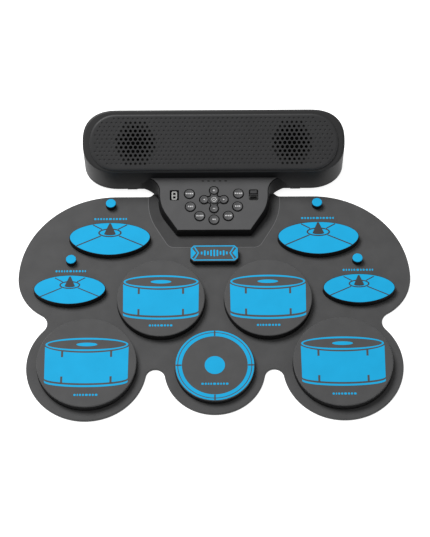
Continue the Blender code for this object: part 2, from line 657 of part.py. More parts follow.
def make_fasteners(mats):
    for i, (x, y) in enumerate(SCREWS, 1):
        low = TONGUE_UNDERSIDE + 0.2
        profile = [
            (0, low),
            (SCREW_HEAD_R, low),
            (SCREW_HEAD_R, SCREW_HEAD_TOP),
            (SCREW_SHANK_R, SCREW_HEAD_TOP),
            (SCREW_SHANK_R, SCREW_TIP_Z - 1.0),
            (0, SCREW_TIP_Z),
        ]
        turned_object(f"case_screw_{i}", profile, 12, mats["steel"], location=(x, y, 0))
    for i, (x, y) in enumerate(FEET, 1):
        foot = rectangle(0, 0, FOOT_HALF_X, FOOT_HALF_Y)
        prism_object(f"rubber_foot_{i}", foot, 0.0, FOOT_TOP, mats["foot_rubber"], location=(x, y, 0))


# ---------------------------------------------------------------- speakers


def grille_holes():
    """Places of the through holes: two clusters on one triangular grid, widest next to the middle row."""
    places = []
    for side in (-1, 1):
        for row in range(-CLUSTER_ROWS, CLUSTER_ROWS + 1):
            count = 8 if row == 0 else 10 - abs(row)
            for i in range(count):
                x = side * SPEAKER_X + (i - (count - 1) / 2) * HOLE_PITCH
                places.append((x, SPEAKER_S + row * HOLE_ROW))
    return places


def make_grille(mats, face):
    bottom, top = GAP, GAP + GRILLE_T

    plan = (GRILLE_HALF_X, GRILLE_S0, GRILLE_S1, GRILLE_END_RX, GRILLE_FULLNESS)

    def ring(inset, h):
        return level(inset_plan(*plan, inset), h)

    shoulder = ring(GRILLE_EDGE_X * (1 - math.sqrt(0.5)), top - GRILLE_EDGE_Z * (1 - math.sqrt(0.5)))
    rings = [ring(0, bottom), ring(0, top - GRILLE_EDGE_Z), shoulder, ring(GRILLE_EDGE_X, top)]
    grille = loft_object("speaker_grille", rings, mats["case_plastic"], parent=face)
    bm = bmesh.new()
    for x, s in grille_holes():
        outline = [(x + px, s + py) for px, py in disc(HOLE_R, 6)]
        add_prism(bm, outline, bottom - 1.0, top + 1.0)
    combine(grille, new_object("cut_grille_holes", bm, parent=face), "DIFFERENCE")


def make_speakers(mats, face):
    """Each speaker: a steel frame with its magnet, and a cone with its dust cap and surround."""
    rim = -WALL - GAP
    frame = [
        (20.5, rim),
        (25.0, rim),
        (25.0, rim - 1.2),
        (21.0, rim - 1.2),
        (13.0, rim - 11.0),
        (14.0, rim - 11.5),
        (14.0, rim - 20.0),
        (0, rim - 20.0),
        (0, rim - 10.0),
        (11.0, rim - 10.0),
        (20.5, rim - 1.0),
    ]
    cone = [
        (0, -1.8),
        (4.0, -2.4),
        (7.0, -4.6),
        (15.5, -1.6),
        (17.5, -0.4),
        (20.0, -1.2),
        (20.0, -2.2),
        (17.5, -1.5),
        (15.5, -2.7),
        (7.0, -7.2),
        (0, -7.2),
    ]
    for label, side in (("left", -1), ("right", 1)):
        place = {"location": (side * SPEAKER_X, SPEAKER_S, 0), "parent": face}
        turned_object(f"speaker_frame_{label}", frame, 18, mats["steel"], **place)
        turned_object(f"speaker_cone_{label}", cone, 18, mats["cone_paper"], **place)


# ---------------------------------------------------------------- controls


def keys():
    """Every sprung key: name, x, distance up the slope and cap radius."""
    found = [(f"function_button_{i}", x, s, BUTTON_R) for i, (x, s) in enumerate(BUTTONS, 1)]
    for name, dx, dy in DPAD_KEYS:
        found.append((f"dpad_key_{name}", dx * DPAD_REACH, DPAD_S + dy * DPAD_REACH, DPAD_KEY_R))
    found.append(("power_button", 0.0, DPAD_S, POWER_R))
    return found


def make_keys(mats, face):
    """Slightly dished caps that slide through the face, each with a flange and a stem above the keypad sheet."""
    under = -WALL - GAP
    for name, x, s, r in keys():
        flange = r + FLANGE_OUT
        profile = [
            (0, STEM_BOTTOM),
            (STEM_R, STEM_BOTTOM),
            (STEM_R, under - 0.8),
            (flange, under - 0.8),
            (flange, under),
            (r, under),
            (r, 0.9),
            (r - 0.5, 1.4),
            (0.5 * r, 1.15),
            (0, 1.05),
        ]
        turned_object(name, profile, 12, mats["key_rubber"], location=(x, s, 0), parent=face)


def make_keypad(mats, face):
    wide, narrow = 37.0, 29.0
    front, waist, rear = 6.0, 24.0, 62.0
    plan = mirrored([(narrow, front), (narrow, waist - 6.0), (wide, waist), (wide, rear)])
    sheet = prism_object("keypad_sheet", plan, SHEET_BOTTOM, SHEET_TOP, mats["key_rubber"], parent=face)
    bm = bmesh.new()
    for _, x, s, _ in keys():
        add_prism(bm, [(x + px, s + py) for px, py in disc(STEM_R, 8)], SHEET_BOTTOM + 0.3, PEDESTAL_TOP)
    combine(sheet, new_object("join_pedestals", bm, parent=face), "UNION")
    board = mirrored([(30.0, 6.0), (30.0, 22.0), (57.0, 30.0), (57.0, 62.0)])
    prism_object("main_board", board, BOARD_TOP - BOARD_T, BOARD_TOP, mats["board_green"], parent=face)


def make_display_and_switch(mats, face):
    plan = rectangle(0, 0, WINDOW_HALF_X - GAP, WINDOW_HALF_S - GAP)
    place = {"location": (WINDOW_X, WINDOW_S, 0), "parent": face}
    lens_top, lens_bottom = -0.1, -1.1
    prism_object("display_lens", plan, lens_bottom, lens_top, mats["lens_dark"], **place)
    prism_object("display_module", plan, BOARD_TOP + GAP, lens_bottom - GAP, mats["cone_paper"], **place)
    hx = SWITCH_HALF_X - GAP
    rest_s = SWITCH_S + SWITCH_HALF_S - SWITCH_CAP_HALF_S - GAP
    low, high, ridge = BOARD_TOP + 0.9, 0.3, 1.2
    cap = [
        (-SWITCH_CAP_HALF_S, low),
        (SWITCH_CAP_HALF_S, low),
        (SWITCH_CAP_HALF_S, high),
        (1.2, ridge),
        (0.4, high),
        (-0.4, high),
        (-1.2, ridge),
        (-SWITCH_CAP_HALF_S, high),
    ]
    rings = [[(x, s, h) for s, h in cap] for x in (-hx, hx)]
    loft_object("power_switch_cap", rings, mats["pad_rubber"], location=(SWITCH_X, rest_s, 0), parent=face)
    body = rectangle(0, 0, SWITCH_HALF_X + 1.5, SWITCH_HALF_S + 1.5)
    place = {"location": (SWITCH_X, SWITCH_S, 0), "parent": face}
    prism_object("switch_body", body, BOARD_TOP + GAP, BOARD_TOP + 0.6, mats["steel"], **place)


# ---------------------------------------------------------------- power and sockets


def socket_outline(half_x, half_z):
    """Barrel outline in x and z: round for a plug jack, a rectangle for the power port."""
    if half_x == half_z:
        return disc(half_x, 12)
    return rectangle(0, 0, half_x, half_z)


def add_barrel(bm, x, outline, y0, y1):
    add_loft(bm, [[(x + px, y, JACK_Z + pz) for px, pz in outline] for y in (y0, y1)])


def jack_bodies(name, grow):
    """The stretch of every socket barrel that passes the rear wall, grown by a clearance."""
    bm = bmesh.new()
    for _, x, half_x, half_z in JACKS:
        outline = socket_outline(half_x + BARREL_WALL + grow, half_z + BARREL_WALL + grow)
        add_barrel(bm, x, outline, JACK_SHOULDER_Y - 1.0, BAR_REAR_Y + 3.0)
    return new_object(name, bm)


def make_jacks(mats):
    for name, x, half_x, half_z in JACKS:
        bm = bmesh.new()
        block = rectangle(0, 0, half_x + 3.0, JACK_Z - IO_BOARD_TOP - GAP)
        add_barrel(bm, x, block, JACK_FRONT_Y, JACK_SHOULDER_Y)
        jack = new_object(name, bm, mats["lens_dark"])
        bm = bmesh.new()
        barrel = socket_outline(half_x + BARREL_WALL, half_z + BARREL_WALL)
        add_barrel(bm, x, barrel, JACK_FRONT_Y + 2.0, JACK_MOUTH_Y)
        combine(jack, new_object(f"join_{name}", bm), "UNION")
        bm = bmesh.new()
        add_barrel(bm, x, socket_outline(half_x, half_z), JACK_FRONT_Y + 1.5, JACK_MOUTH_Y + 1.0)
        combine(jack, new_object(f"cut_{name}", bm), "DIFFERENCE")
    board = rectangle(0.0, IO_BOARD_Y, IO_BOARD_HALF_X, IO_BOARD_HALF_Y)
    prism_object("io_board", board, IO_BOARD_TOP - BOARD_T, IO_BOARD_TOP, mats["board_green"])
    battery = rectangle(0.0, BATTERY_Y, BATTERY_HALF_X, BATTERY_HALF_Y)
    prism_object("battery_pack", battery, SHELL_BOTTOM, BATTERY_TOP, mats["cell_foil"])


def main():
    clear_scene()
    mats = make_materials()
    bar_face = slope_frame("bar_face", BAR_TOP_FRONT_Y, BAR_RIM_Z, BAR_TILT)
    tongue_face = slope_frame("tongue_face", TONGUE_FRONT_Y, TONGUE_RIM_Z, TONGUE_TILT)
    make_mat(mats)
    make_pads(mats)
    make_studs(mats)
    make_badge(mats)
    make_case(mats, bar_face, tongue_face)
    make_fasteners(mats)
    make_grille(mats, bar_face)
    make_speakers(mats, bar_face)
    make_keys(mats, tongue_face)
    make_keypad(mats, tongue_face)
    make_display_and_switch(mats, tongue_face)
    make_jacks(mats)


main()
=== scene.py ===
"""Looks of the electronic drum pad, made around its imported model.

Lengths are in millimetres until a mesh is made, and places are in the model's own frame: +X is the player's
right, +Y points away from the player and +Z is up. What lies on the unit's two tilted faces is drawn in the
plane of the face: x along its width, y up the slope and z along its normal.
"""

import json
from collections import namedtuple
from math import acos, atan2, ceil, copysign, cos, degrees, dist, hypot, pi, radians, sin, sqrt, tan, tau

import bmesh
import bpy
from mathutils import Matrix, Vector
from mathutils.geometry import delaunay_2d_cdt

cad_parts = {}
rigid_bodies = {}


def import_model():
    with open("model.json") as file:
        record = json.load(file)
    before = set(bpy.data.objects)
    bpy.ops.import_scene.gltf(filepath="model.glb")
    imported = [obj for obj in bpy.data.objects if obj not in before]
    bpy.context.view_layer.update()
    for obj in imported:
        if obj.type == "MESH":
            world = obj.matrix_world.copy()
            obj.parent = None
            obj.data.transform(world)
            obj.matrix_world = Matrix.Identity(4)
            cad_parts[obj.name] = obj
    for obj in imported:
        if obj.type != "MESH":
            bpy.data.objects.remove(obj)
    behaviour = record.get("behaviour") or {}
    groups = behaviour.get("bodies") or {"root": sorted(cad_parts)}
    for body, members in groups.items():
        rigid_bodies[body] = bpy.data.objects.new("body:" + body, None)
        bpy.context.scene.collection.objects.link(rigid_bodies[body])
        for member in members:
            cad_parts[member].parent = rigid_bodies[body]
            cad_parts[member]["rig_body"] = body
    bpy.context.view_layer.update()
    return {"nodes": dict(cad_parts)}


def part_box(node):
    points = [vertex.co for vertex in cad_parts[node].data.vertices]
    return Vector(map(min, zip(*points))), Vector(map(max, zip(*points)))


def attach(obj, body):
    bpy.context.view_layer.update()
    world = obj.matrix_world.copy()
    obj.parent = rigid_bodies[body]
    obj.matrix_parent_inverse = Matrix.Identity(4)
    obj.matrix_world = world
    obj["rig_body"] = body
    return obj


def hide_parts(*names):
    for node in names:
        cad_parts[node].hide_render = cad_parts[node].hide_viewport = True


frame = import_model()

MM = 0.001

# Mat outline, as in the model: the arcs of its lobes and the fillets between them.
MAT_HALF_WIDTH, MAT_REAR_Y = 230.0, 108.0
REAR_LOBE_R, SIDE_LOBE_R = 112.0, 57.5
FRONT_LOBE_X, FRONT_LOBE_Y, FRONT_LOBE_R = 147.0, -122.0, 69.3
BASS_LOBE_Y, BASS_LOBE_R = -125.7, 58.0
WAIST_FILLET_R, NOTCH_FILLET_R = 13.5, 11.0
TAB_HALF_X, TAB_DEPTH, TAB_CORNER_R, TAB_HOLLOW_R = 70.0, 4.7, 4.2, 8.0
BACKING_TOP, SKIN_BOTTOM, MAT_TOP = 0.6, 0.9, 3.0
MAT_EDGE_R, LIP_R = 0.9, 0.8
POCKET_FLOOR, POCKET_GAP = 1.9, 0.3
TROUGH_FLOOR = 1.7
TROUGH_LIP = (37.4, 52.7, (68.0, 64.0), 77.5, 10.0)
TROUGH_FOOT = (51.6, 45.4, (60.4, 74.0), 68.0, 3.0)
TROUGH_REAR_Y = 125.0

# Playing pads.
DRUM_PADS = ("pad_snare", "pad_floor_tom", "pad_high_tom", "pad_low_tom", "pad_bass")
# Each cymbal pad with the share of its depth that lies in front of its widest line.
CYMBAL_PADS = {"pad_crash_left": 0.551, "pad_crash_right": 0.551, "pad_hi_hat": 0.525, "pad_ride": 0.525}
STUDS = ("stud_crash_left", "stud_crash_right", "stud_hi_hat", "stud_ride")
PAD_EDGE_R, STUD_EDGE_R, BADGE_EDGE_R = 1.1, 0.7, 0.8
PRINT_H = 0.12  # thickness of a printed layer
BADGE_CORNER = 4.2
BOW = 6.6  # how far the lower lines of a drum's picture sag in the middle
PICTURE_GAP = 2.1  # between a drum's rim and its shell
Picture = namedtuple("Picture", "half_x rim_y rim_h shell_y hoop_top hoop_low label_y")
LARGE_DRUM = Picture(47.5, 22.7, 8.7, -27.5, -29.8, -32.3, -42.2)
SMALL_DRUM = Picture(43.7, 21.1, 8.8, -24.3, -26.9, -29.5, -37.2)
PICTURES = dict(zip(DRUM_PADS, (LARGE_DRUM, LARGE_DRUM, SMALL_DRUM, SMALL_DRUM)))  # all but the bass drum's

# Unit.
BAR_FRONT_Y, BAR_REAR_Y = 120.2, 191.2
BAR_TOP_FRONT_Y, BAR_TOP_REAR_Y = 121.9, 188.8
BAR_FOOT_PLAN = (156.0, BAR_FRONT_Y, BAR_REAR_Y, 41.7, 2.1)
BAR_TOP_PLAN = (156.45, BAR_TOP_FRONT_Y, BAR_TOP_REAR_Y, 43.3, 2.5)
BAR_RIM_Z, BAR_TILT = 35.5, radians(28.0)
BAR_EDGE_R, BAR_EDGE_FRONT = 3.5, 0.4
BASE_BOTTOM, BASE_TOP, SHELL_BOTTOM = 1.0, 4.3, 4.6
WALL = 2.4
TONGUE_SHAPE = (54.5, 43.5, (57.6, 75.4), 65.0, 2.0)
TONGUE_DRAFT = 1.5
FLARE_TOP, FLARE_FOOT = (104.0, 18.0, 18.0, 2.0), (103.0, 23.5, 18.0, 1.5)
TONGUE_RIM_Z, TONGUE_TILT = 12.2, radians(9.7)
TONGUE_REAR_Y = 136.0
TONGUE_EDGE_R = 1.3
TONGUE_UNDERSIDE = 2.0

# Grille.
GRILLE_PLAN = (148.3, 1.8, 69.3, 33.5, 2.15)
GRILLE_T, GRILLE_EDGE, GRILLE_GAP = 2.2, (3.0, 1.8), 0.3
HOLE_PITCH = 5.65
HOLE_ROW = HOLE_PITCH * sqrt(3) / 2
SPEAKER_X, SPEAKER_S, SPEAKER_HOLE_R = 16.5 * HOLE_PITCH, 34.5, 21.0
CLUSTER_ROWS = 5
HOLE_R_CENTRE, HOLE_R_EDGE = 2.15, 1.3

# Controls.
BUTTON_HALF = ((29.2, 46.8), (28.1, 30.3), (17.0, 18.2))
BUTTONS = (*((-x, y) for x, y in BUTTON_HALF), (0.0, 13.5), *reversed(BUTTON_HALF))
BUTTON_R, DPAD_KEY_R, POWER_R = 5.5, 4.7, 5.2
DPAD_S, DPAD_REACH = 39.3, 11.7
RECESS_LOBE_R, RECESS_NECK, RECESS_DEPTH = 6.1, 7.5, 1.6
KEY_CLEAR = 0.45
KEY_DISH = 0.8  # width of the sloped ring round each key's hole
ISLAND_GAP, ISLAND_GROOVE = 0.6, 1.5  # round the keys, and along the edge of the recess
PANEL_REBATE, PANEL_EDGE_R = 0.8, 0.5
CAP_EDGE_R, CAP_TOP, CAP_DISH = 0.5, 1.4, 0.4
WINDOW = (-47.2, 45.4, 5.1, 6.2)
SWITCH = (47.2, 45.5, 4.6, 6.0)

# Sockets on the rear wall: centre x, and half width and half height of the opening.
JACK_Z = 14.0
BARREL_WALL, BARREL_ROOM = 1.2, 1.5  # thickness of a barrel's wall, and of the wall and the gap round it
BLOCK_REAR_Y = 185.0
ROUND_JACKS = ("headphone_jack", "audio_in_jack", "kick_pedal_jack", "hi_hat_pedal_jack")
JACKS = {"usb_port": (-52.0, 4.3, 1.7)}
JACKS.update((node, (i * 26.0, 1.8, 1.8)) for i, node in enumerate(ROUND_JACKS, -1))
FEET = tuple((side * 98.0, y) for y in (126.2, 183.0) for side in (-1, 1))
SCREWS = tuple((side * x, y) for x, y in ((134.0, 138.0), (134.0, 173.0), (38.5, 63.5)) for side in (-1, 1))


# ---- materials


CLOUD_SCALE, UNEVEN = 55.0, 0.06  # clouds per metre, and how far the roughness varies either way
# Grains: noise scale per metre, strength of the bump and its depth in millimetres.
RUBBER, INK, PLASTIC = (1400.0, 0.3, 0.06), (1400.0, 0.15, 0.03), (2200.0, 0.3, 0.04)
PLAIN, SMOOTH = (900.0, 0.25, 0.05), (2600.0, 0.1, 0.02)
WHITE = (1.0, 1.0, 1.0, 1.0)


def adjust(node, values):
    """Sets a shader node's own inputs."""
    for name, value in values.items():
        node.inputs[name].default_value = value


def surface(name, colour, roughness, grain=PLAIN, mottle=0.06, gloss=0.5, metallic=0.0, glow=0.0):
    """A moulded or printed surface: a faintly cloudy base colour, uneven gloss and a fine grain."""
    mat = bpy.data.materials.new(name)
    mat.use_nodes = True
    nodes, links = mat.node_tree.nodes, mat.node_tree.links
    shader = nodes["Principled BSDF"]
    adjust(shader, {"Metallic": metallic, "Specular IOR Level": gloss})
    adjust(shader, {"Emission Color": WHITE, "Emission Strength": glow})
    where = nodes.new("ShaderNodeTexCoord")

    def noise(scale, detail):
        node = nodes.new("ShaderNodeTexNoise")
        adjust(node, {"Scale": scale, "Detail": detail})
        links.new(where.outputs["Object"], node.inputs["Vector"])
        return node

    grain_scale, strength, depth = grain
    clouds, fine = noise(CLOUD_SCALE, 3.0), noise(grain_scale, 2.0)
    ramp = nodes.new("ShaderNodeValToRGB")
    for stop, position, share in zip(ramp.color_ramp.elements, (0.3, 0.7), (1 - mottle, 1 + mottle)):
        stop.position = position
        stop.color = (*(min(1.0, c * share) for c in colour), 1.0)
    links.new(clouds.outputs["Fac"], ramp.inputs["Fac"])
    links.new(ramp.outputs["Color"], shader.inputs["Base Color"])
    rough = nodes.new("ShaderNodeMapRange")
    adjust(rough, {"To Min": max(0.02, roughness - UNEVEN), "To Max": min(1.0, roughness + UNEVEN)})
    links.new(fine.outputs["Fac"], rough.inputs["Value"])
    links.new(rough.outputs["Result"], shader.inputs["Roughness"])
    bump = nodes.new("ShaderNodeBump")
    adjust(bump, {"Strength": strength, "Distance": depth * MM})
    links.new(fine.outputs["Fac"], bump.inputs["Height"])
    links.new(bump.outputs["Normal"], shader.inputs["Normal"])
    return mat


# Colour, roughness, grain, mottle, gloss and share of metal of each finish.
FINISHES = {
    "mat": ((0.067, 0.067, 0.068), 0.65, RUBBER, 0.08, 0.25),
    # lip: the mat's rubber made lighter, a painted highlight along the trough's rounded outer edge.
    "lip": ((0.12, 0.12, 0.122), 0.6, RUBBER, 0.08, 0.3),
    # trough: the mat's rubber made darker, painted shade on the sunken band round the unit.
    "trough": ((0.047, 0.047, 0.048), 0.65, RUBBER, 0.08, 0.25),
    "backing": ((0.03, 0.03, 0.03), 0.8),
    # pad_side: darker than pad_top; partly dark rubber, partly painted shade on walls turned away from the
    # key light.
    "pad_side": ((0.009, 0.009, 0.0095), 0.6, RUBBER, 0.06, 0.25),
    "pad_top": ((0.07, 0.07, 0.071), 0.65, RUBBER, 0.07, 0.25),
    "blue": ((0.012, 0.395, 0.72), 0.6, INK, 0.03, 0.08),
    "dark_ink": ((0.04, 0.042, 0.045), 0.65, INK, 0.05, 0.25),
    "case": ((0.021, 0.021, 0.0215), 0.5, PLASTIC, 0.05, 0.4),
    # case_wall: darker than case and panel; partly black plastic, partly painted shade on walls turned away
    # from the key light.
    "case_wall": ((0.007, 0.007, 0.0075), 0.5, PLASTIC, 0.05, 0.22),
    "panel": ((0.084, 0.084, 0.086), 0.65, PLASTIC, 0.05, 0.25),
    "grille": ((0.026, 0.026, 0.027), 0.5, PLASTIC, 0.06, 0.4),
    # recess: near black; painted shade on the walls of holes and grooves in the panel and grille; also the
    # printed dashes on the panel and the flat dark ring round the switch opening.
    "recess": ((0.004, 0.004, 0.004), 0.6, PLAIN, 0.06, 0.1),
    "key": ((0.068, 0.068, 0.07), 0.5, (2600.0, 0.15, 0.03), 0.05, 0.35),
    "white": ((0.55, 0.55, 0.55), 0.5, SMOOTH, 0.02),
    "digit": ((0.31, 0.31, 0.30), 0.5, SMOOTH, 0.02),
    "window": ((0.003, 0.003, 0.0035), 0.15, (400.0, 0.02, 0.02), 0.02, 0.04),
    "switch": ((0.03, 0.03, 0.031), 0.5, PLAIN, 0.06, 0.3),
    "jack": ((0.012, 0.012, 0.013), 0.35),
    "steel": ((0.55, 0.55, 0.54), 0.32, (3000.0, 0.1, 0.02), 0.04, 0.5, 1.0),
    "black_steel": ((0.006, 0.006, 0.006), 0.6, PLAIN, 0.06, 0.2),
    "foil": ((0.6, 0.6, 0.6), 0.35, (500.0, 0.3, 0.1), 0.05, 0.5, 1.0),
    "board": ((0.015, 0.13, 0.05), 0.4, (700.0, 0.1, 0.03), 0.2),
    "film": ((0.5, 0.26, 0.04), 0.3, (500.0, 0.05, 0.02), 0.08),
    "cone": ((0.006, 0.006, 0.006), 0.9, (1500.0, 0.6, 0.15), 0.2, 0.1),
    "silicone": ((0.3, 0.3, 0.31), 0.5),
    "foot": ((0.008, 0.008, 0.008), 0.75),
}
MATS = {key: surface(key, *finish) for key, finish in FINISHES.items()}
# Finishes of the CAD nodes that stay as they are.
CARRIED = {"sensor_film": "film", "keypad_sheet": "silicone", "main_board": "board", "io_board": "board"}
CARRIED |= {"speaker_cone_left": "cone", "speaker_cone_right": "cone", "battery_pack": "foil"}
CARRIED |= {"speaker_frame_left": "black_steel", "speaker_frame_right": "black_steel"}
CARRIED |= {"switch_body": "steel", "display_module": "jack"}


# ---- outlines


def arc(cx, cy, r, start, end, step=3.0, count=None):
    """Points on an arc with both its ends, in count steps or in steps no longer than step degrees."""
    count = count or max(2, ceil(abs(end - start) / step))
    angles = [radians(start + (end - start) * i / count) for i in range(count + 1)]
    return [(cx + r * cos(a), cy + r * sin(a)) for a in angles]


def ellipse(cx, cy, rx, ry, count=64):
    return [(cx + rx * cos(tau * i / count), cy + ry * sin(tau * i / count)) for i in range(count)]


def disc(cx, cy, r, count=48):
    return ellipse(cx, cy, r, r, count)


def rectangle(cx, cy, hx, hy):
    return [(cx - hx, cy - hy), (cx + hx, cy - hy), (cx + hx, cy + hy), (cx - hx, cy + hy)]


def rounded_rectangle(cx, cy, hx, hy, r, step=15.0):
    corners = ((hx - r, hy - r, 0), (r - hx, hy - r, 90), (r - hx, r - hy, 180), (hx - r, r - hy, 270))
    return [p for dx, dy, a in corners for p in arc(cx + dx, cy + dy, r, a, a + 90, step)]


def cymbal(half_x, front, rear):
    """A disc seen at a slant: a fuller, slightly pointed front half and a flatter rear half."""
    return superellipse(half_x, rear, 2, 0, 180, 48) + superellipse(half_x, front, 1.85, 180, 360, 48)[1:-1]


def mirrored(right):
    """A closed outline from its right half, whose first and last points may lie on the centre line."""
    return right + [(-x, y) for x, y in reversed(right) if x > 1e-6]


def direction(a, b):
    return degrees(atan2(b[1] - a[1], b[0] - a[0]))


def outside_fillet(a, ra, b, rb, r):
    """Centre of the circle of radius r that touches two circles from outside, left of the way from a to b."""
    dx, dy = b[0] - a[0], b[1] - a[1]
    d = hypot(dx, dy)
    along = ((ra + r) ** 2 - (rb + r) ** 2 + d * d) / (2 * d)
    across = sqrt((ra + r) ** 2 - along**2)
    ux, uy = dx / d, dy / d
    return a[0] + ux * along - uy * across, a[1] + uy * along + ux * across


def mat_outline(inset=0.0):
    rear = (MAT_HALF_WIDTH - REAR_LOBE_R, MAT_REAR_Y - REAR_LOBE_R)
    side = (MAT_HALF_WIDTH - SIDE_LOBE_R, rear[1])
    front, bass = (FRONT_LOBE_X, FRONT_LOBE_Y), (0.0, BASS_LOBE_Y)
    waist = outside_fillet(side, SIDE_LOBE_R, front, FRONT_LOBE_R, WAIST_FILLET_R)
    notch = outside_fillet(front, FRONT_LOBE_R, bass, BASS_LOBE_R, NOTCH_FILLET_R)
    span = TAB_CORNER_R + TAB_HOLLOW_R
    turn = acos(1 - TAB_DEPTH / span)
    hollow_x = TAB_HALF_X + span * sin(turn)
    turn = degrees(turn)
    right = arc(TAB_HALF_X, MAT_REAR_Y + TAB_DEPTH - TAB_CORNER_R, TAB_CORNER_R - inset, 90, 90 - turn, 9)
    right += arc(hollow_x, MAT_REAR_Y + TAB_HOLLOW_R, TAB_HOLLOW_R + inset, 270 - turn, 270, 9)[1:]
    right += arc(*rear, REAR_LOBE_R - inset, 90, 0)
    right += arc(*side, SIDE_LOBE_R - inset, 0, direction(side, waist))[1:]
    right += arc(*waist, WAIST_FILLET_R + inset, direction(waist, side), direction(waist, front) + 360, 6)[1:]
    right += arc(*front, FRONT_LOBE_R - inset, direction(front, waist), direction(front, notch))[1:]
    right += arc(*notch, NOTCH_FILLET_R + inset, direction(notch, front), direction(notch, bass), 6)[1:]
    right += arc(*bass, BASS_LOBE_R - inset, direction(bass, notch), -90)[1:]
    return mirrored(right)


def flank(front_y, front_x, kink, half_x, corner_r, inset=0.0):
    """Right side of a tongue: a rounded front corner, a straight flank, and an arc that ends along +Y."""
    lean = atan2(kink[1] - front_y, kink[0] - front_x)
    turn = pi / 2 - lean
    r = (half_x - kink[0]) / (1 - cos(turn))
    centre = (half_x - r, kink[1] + r * sin(turn))
    foot = (kink[0] - inset * sin(lean), kink[1] + inset * cos(lean))
    corner_y = front_y + inset
    corner_x = foot[0] - (foot[1] - corner_y) / tan(lean)
    corner_r = max(0.2, corner_r - inset)
    reach = corner_r * tan(lean / 2)
    rounded = arc(corner_x - reach, corner_y + corner_r, corner_r, -90, degrees(lean) - 90, count=6)
    return rounded + arc(*centre, r - inset, -degrees(turn), 0, count=12)


def tongue_outline(inset=0.0, flare=FLARE_TOP):
    """The tongue to the bar; a flare has the y where it starts, its reach in x and y, and its fullness."""
    y0, reach_x, reach_y, fullness = flare
    x1 = TONGUE_SHAPE[3] + reach_x
    right = flank(*TONGUE_SHAPE, inset)
    for x, y in superellipse(reach_x + inset, reach_y + inset, fullness, 180, 90, 18):
        right.append((x1 + x, y0 + y))
    right.append((x1, TONGUE_REAR_Y + inset))
    return mirrored(right)


def trough_outline(shape, grow=0.0):
    right = flank(*shape, -grow)
    right.append((shape[3] + grow, TROUGH_REAR_Y))
    return mirrored(right)


def superellipse(rx, ry, fullness, start, end, steps):
    """Points of an ellipse between two angles in degrees. A fullness above 2 makes it squarer."""
    points = []
    for i in range(steps + 1):
        a = radians(start + (end - start) * i / steps)
        c, s = cos(a), sin(a)
        x = rx * copysign(abs(c) ** (2 / fullness), c)
        points.append((x, ry * copysign(abs(s) ** (2 / fullness), s)))
    return points


def stadium(half_x, y0, y1, end_rx, fullness, inset=0.0, share=1.0):
    """A long shape with rounded ends, moved inwards by inset, and by a share of it at its front edge."""
    half_x, y0, y1, end_rx = half_x - inset, y0 + inset * share, y1 - inset, end_rx - inset
    cy, ry, cx = (y0 + y1) / 2, (y1 - y0) / 2, half_x - end_rx
    return mirrored([(cx + x, cy + y) for x, y in superellipse(end_rx, ry, fullness, -90, 90, 44)])


def plus(long, thin, cx=0.0, cy=0.0):
    """A cross with arms of a half length and a half width."""
    return four_ways([(long, -thin), (long, thin), (thin, thin)], cx, cy)


def sides(points):
    """Both ends of every side of a closed outline."""
    return zip(points, points[1:] + points[:1])


def four_ways(quadrant, cx, cy):
    """A closed outline from its part in one quadrant, repeated at every quarter turn about a centre."""
    points = []
    for c, s in ((1, 0), (0, 1), (-1, 0), (0, -1)):
        points += [(cx + x * c - y * s, cy + x * s + y * c) for x, y in quadrant]
    return points


def offset(points, inset):
    """The outline moved inwards by inset, with mitred corners."""
    turn = copysign(1.0, sum(x0 * y1 - x1 * y0 for (x0, y0), (x1, y1) in sides(points)))
    moved = []
    for i, (x, y) in enumerate(points):
        before = Vector((x, y)) - Vector(points[i - 1])
        after = Vector(points[(i + 1) % len(points)]) - Vector((x, y))
        n0, n1 = (Vector((-d.y, d.x)).normalized() * turn for d in (before, after))
        step = (n0 + n1) / max(0.3, 1 + n0.dot(n1))
        moved.append((x + step.x * inset, y + step.y * inset))
    return moved


def inside(point, polygon):
    x, y = point
    crossed = False
    for (x0, y0), (x1, y1) in sides(polygon):
        if (y0 > y) != (y1 > y) and x < x0 + (x1 - x0) * (y - y0) / (y1 - y0):
            crossed = not crossed
    return crossed


def quarter(r, steps=4):
    """Inset and drop of each ring of a rounded edge, from the wall to the top."""
    turns = (pi / 2 * i / steps for i in range(steps + 1))
    return [(r * (1 - cos(t)), r * (1 - sin(t))) for t in turns]


class Face:
    """A tilted plane of the unit: x across, y up the slope, z along its normal."""

    def __init__(self, y, z, tilt):
        self.y, self.z, self.tilt = y, z, tilt
        self.matrix = Matrix.Translation(Vector((0, y, z)) * MM) @ Matrix.Rotation(tilt, 4, "X")

    def at(self, points, height):
        """World points of 2D points on the face, raised by height."""
        c, s = cos(self.tilt), sin(self.tilt)
        return [(px, self.y + py * c - height * s, self.z + py * s + height * c) for px, py in points]

    def top(self, y):
        return self.z + (y - self.y) * tan(self.tilt)


BAR_FACE = Face(BAR_TOP_FRONT_Y, BAR_RIM_Z, BAR_TILT)
TONGUE_FACE = Face(TONGUE_SHAPE[0], TONGUE_RIM_Z, TONGUE_TILT)
FLAT, PANEL = Matrix.Identity(4), TONGUE_FACE.matrix


# ---- meshes


def add_object(name, data, matrix):
    obj = bpy.data.objects.new(name, data)
    bpy.context.scene.collection.objects.link(obj)
    obj.matrix_world = matrix
    return obj


def level(outline, z):
    return [(x, y, z) for x, y in outline]


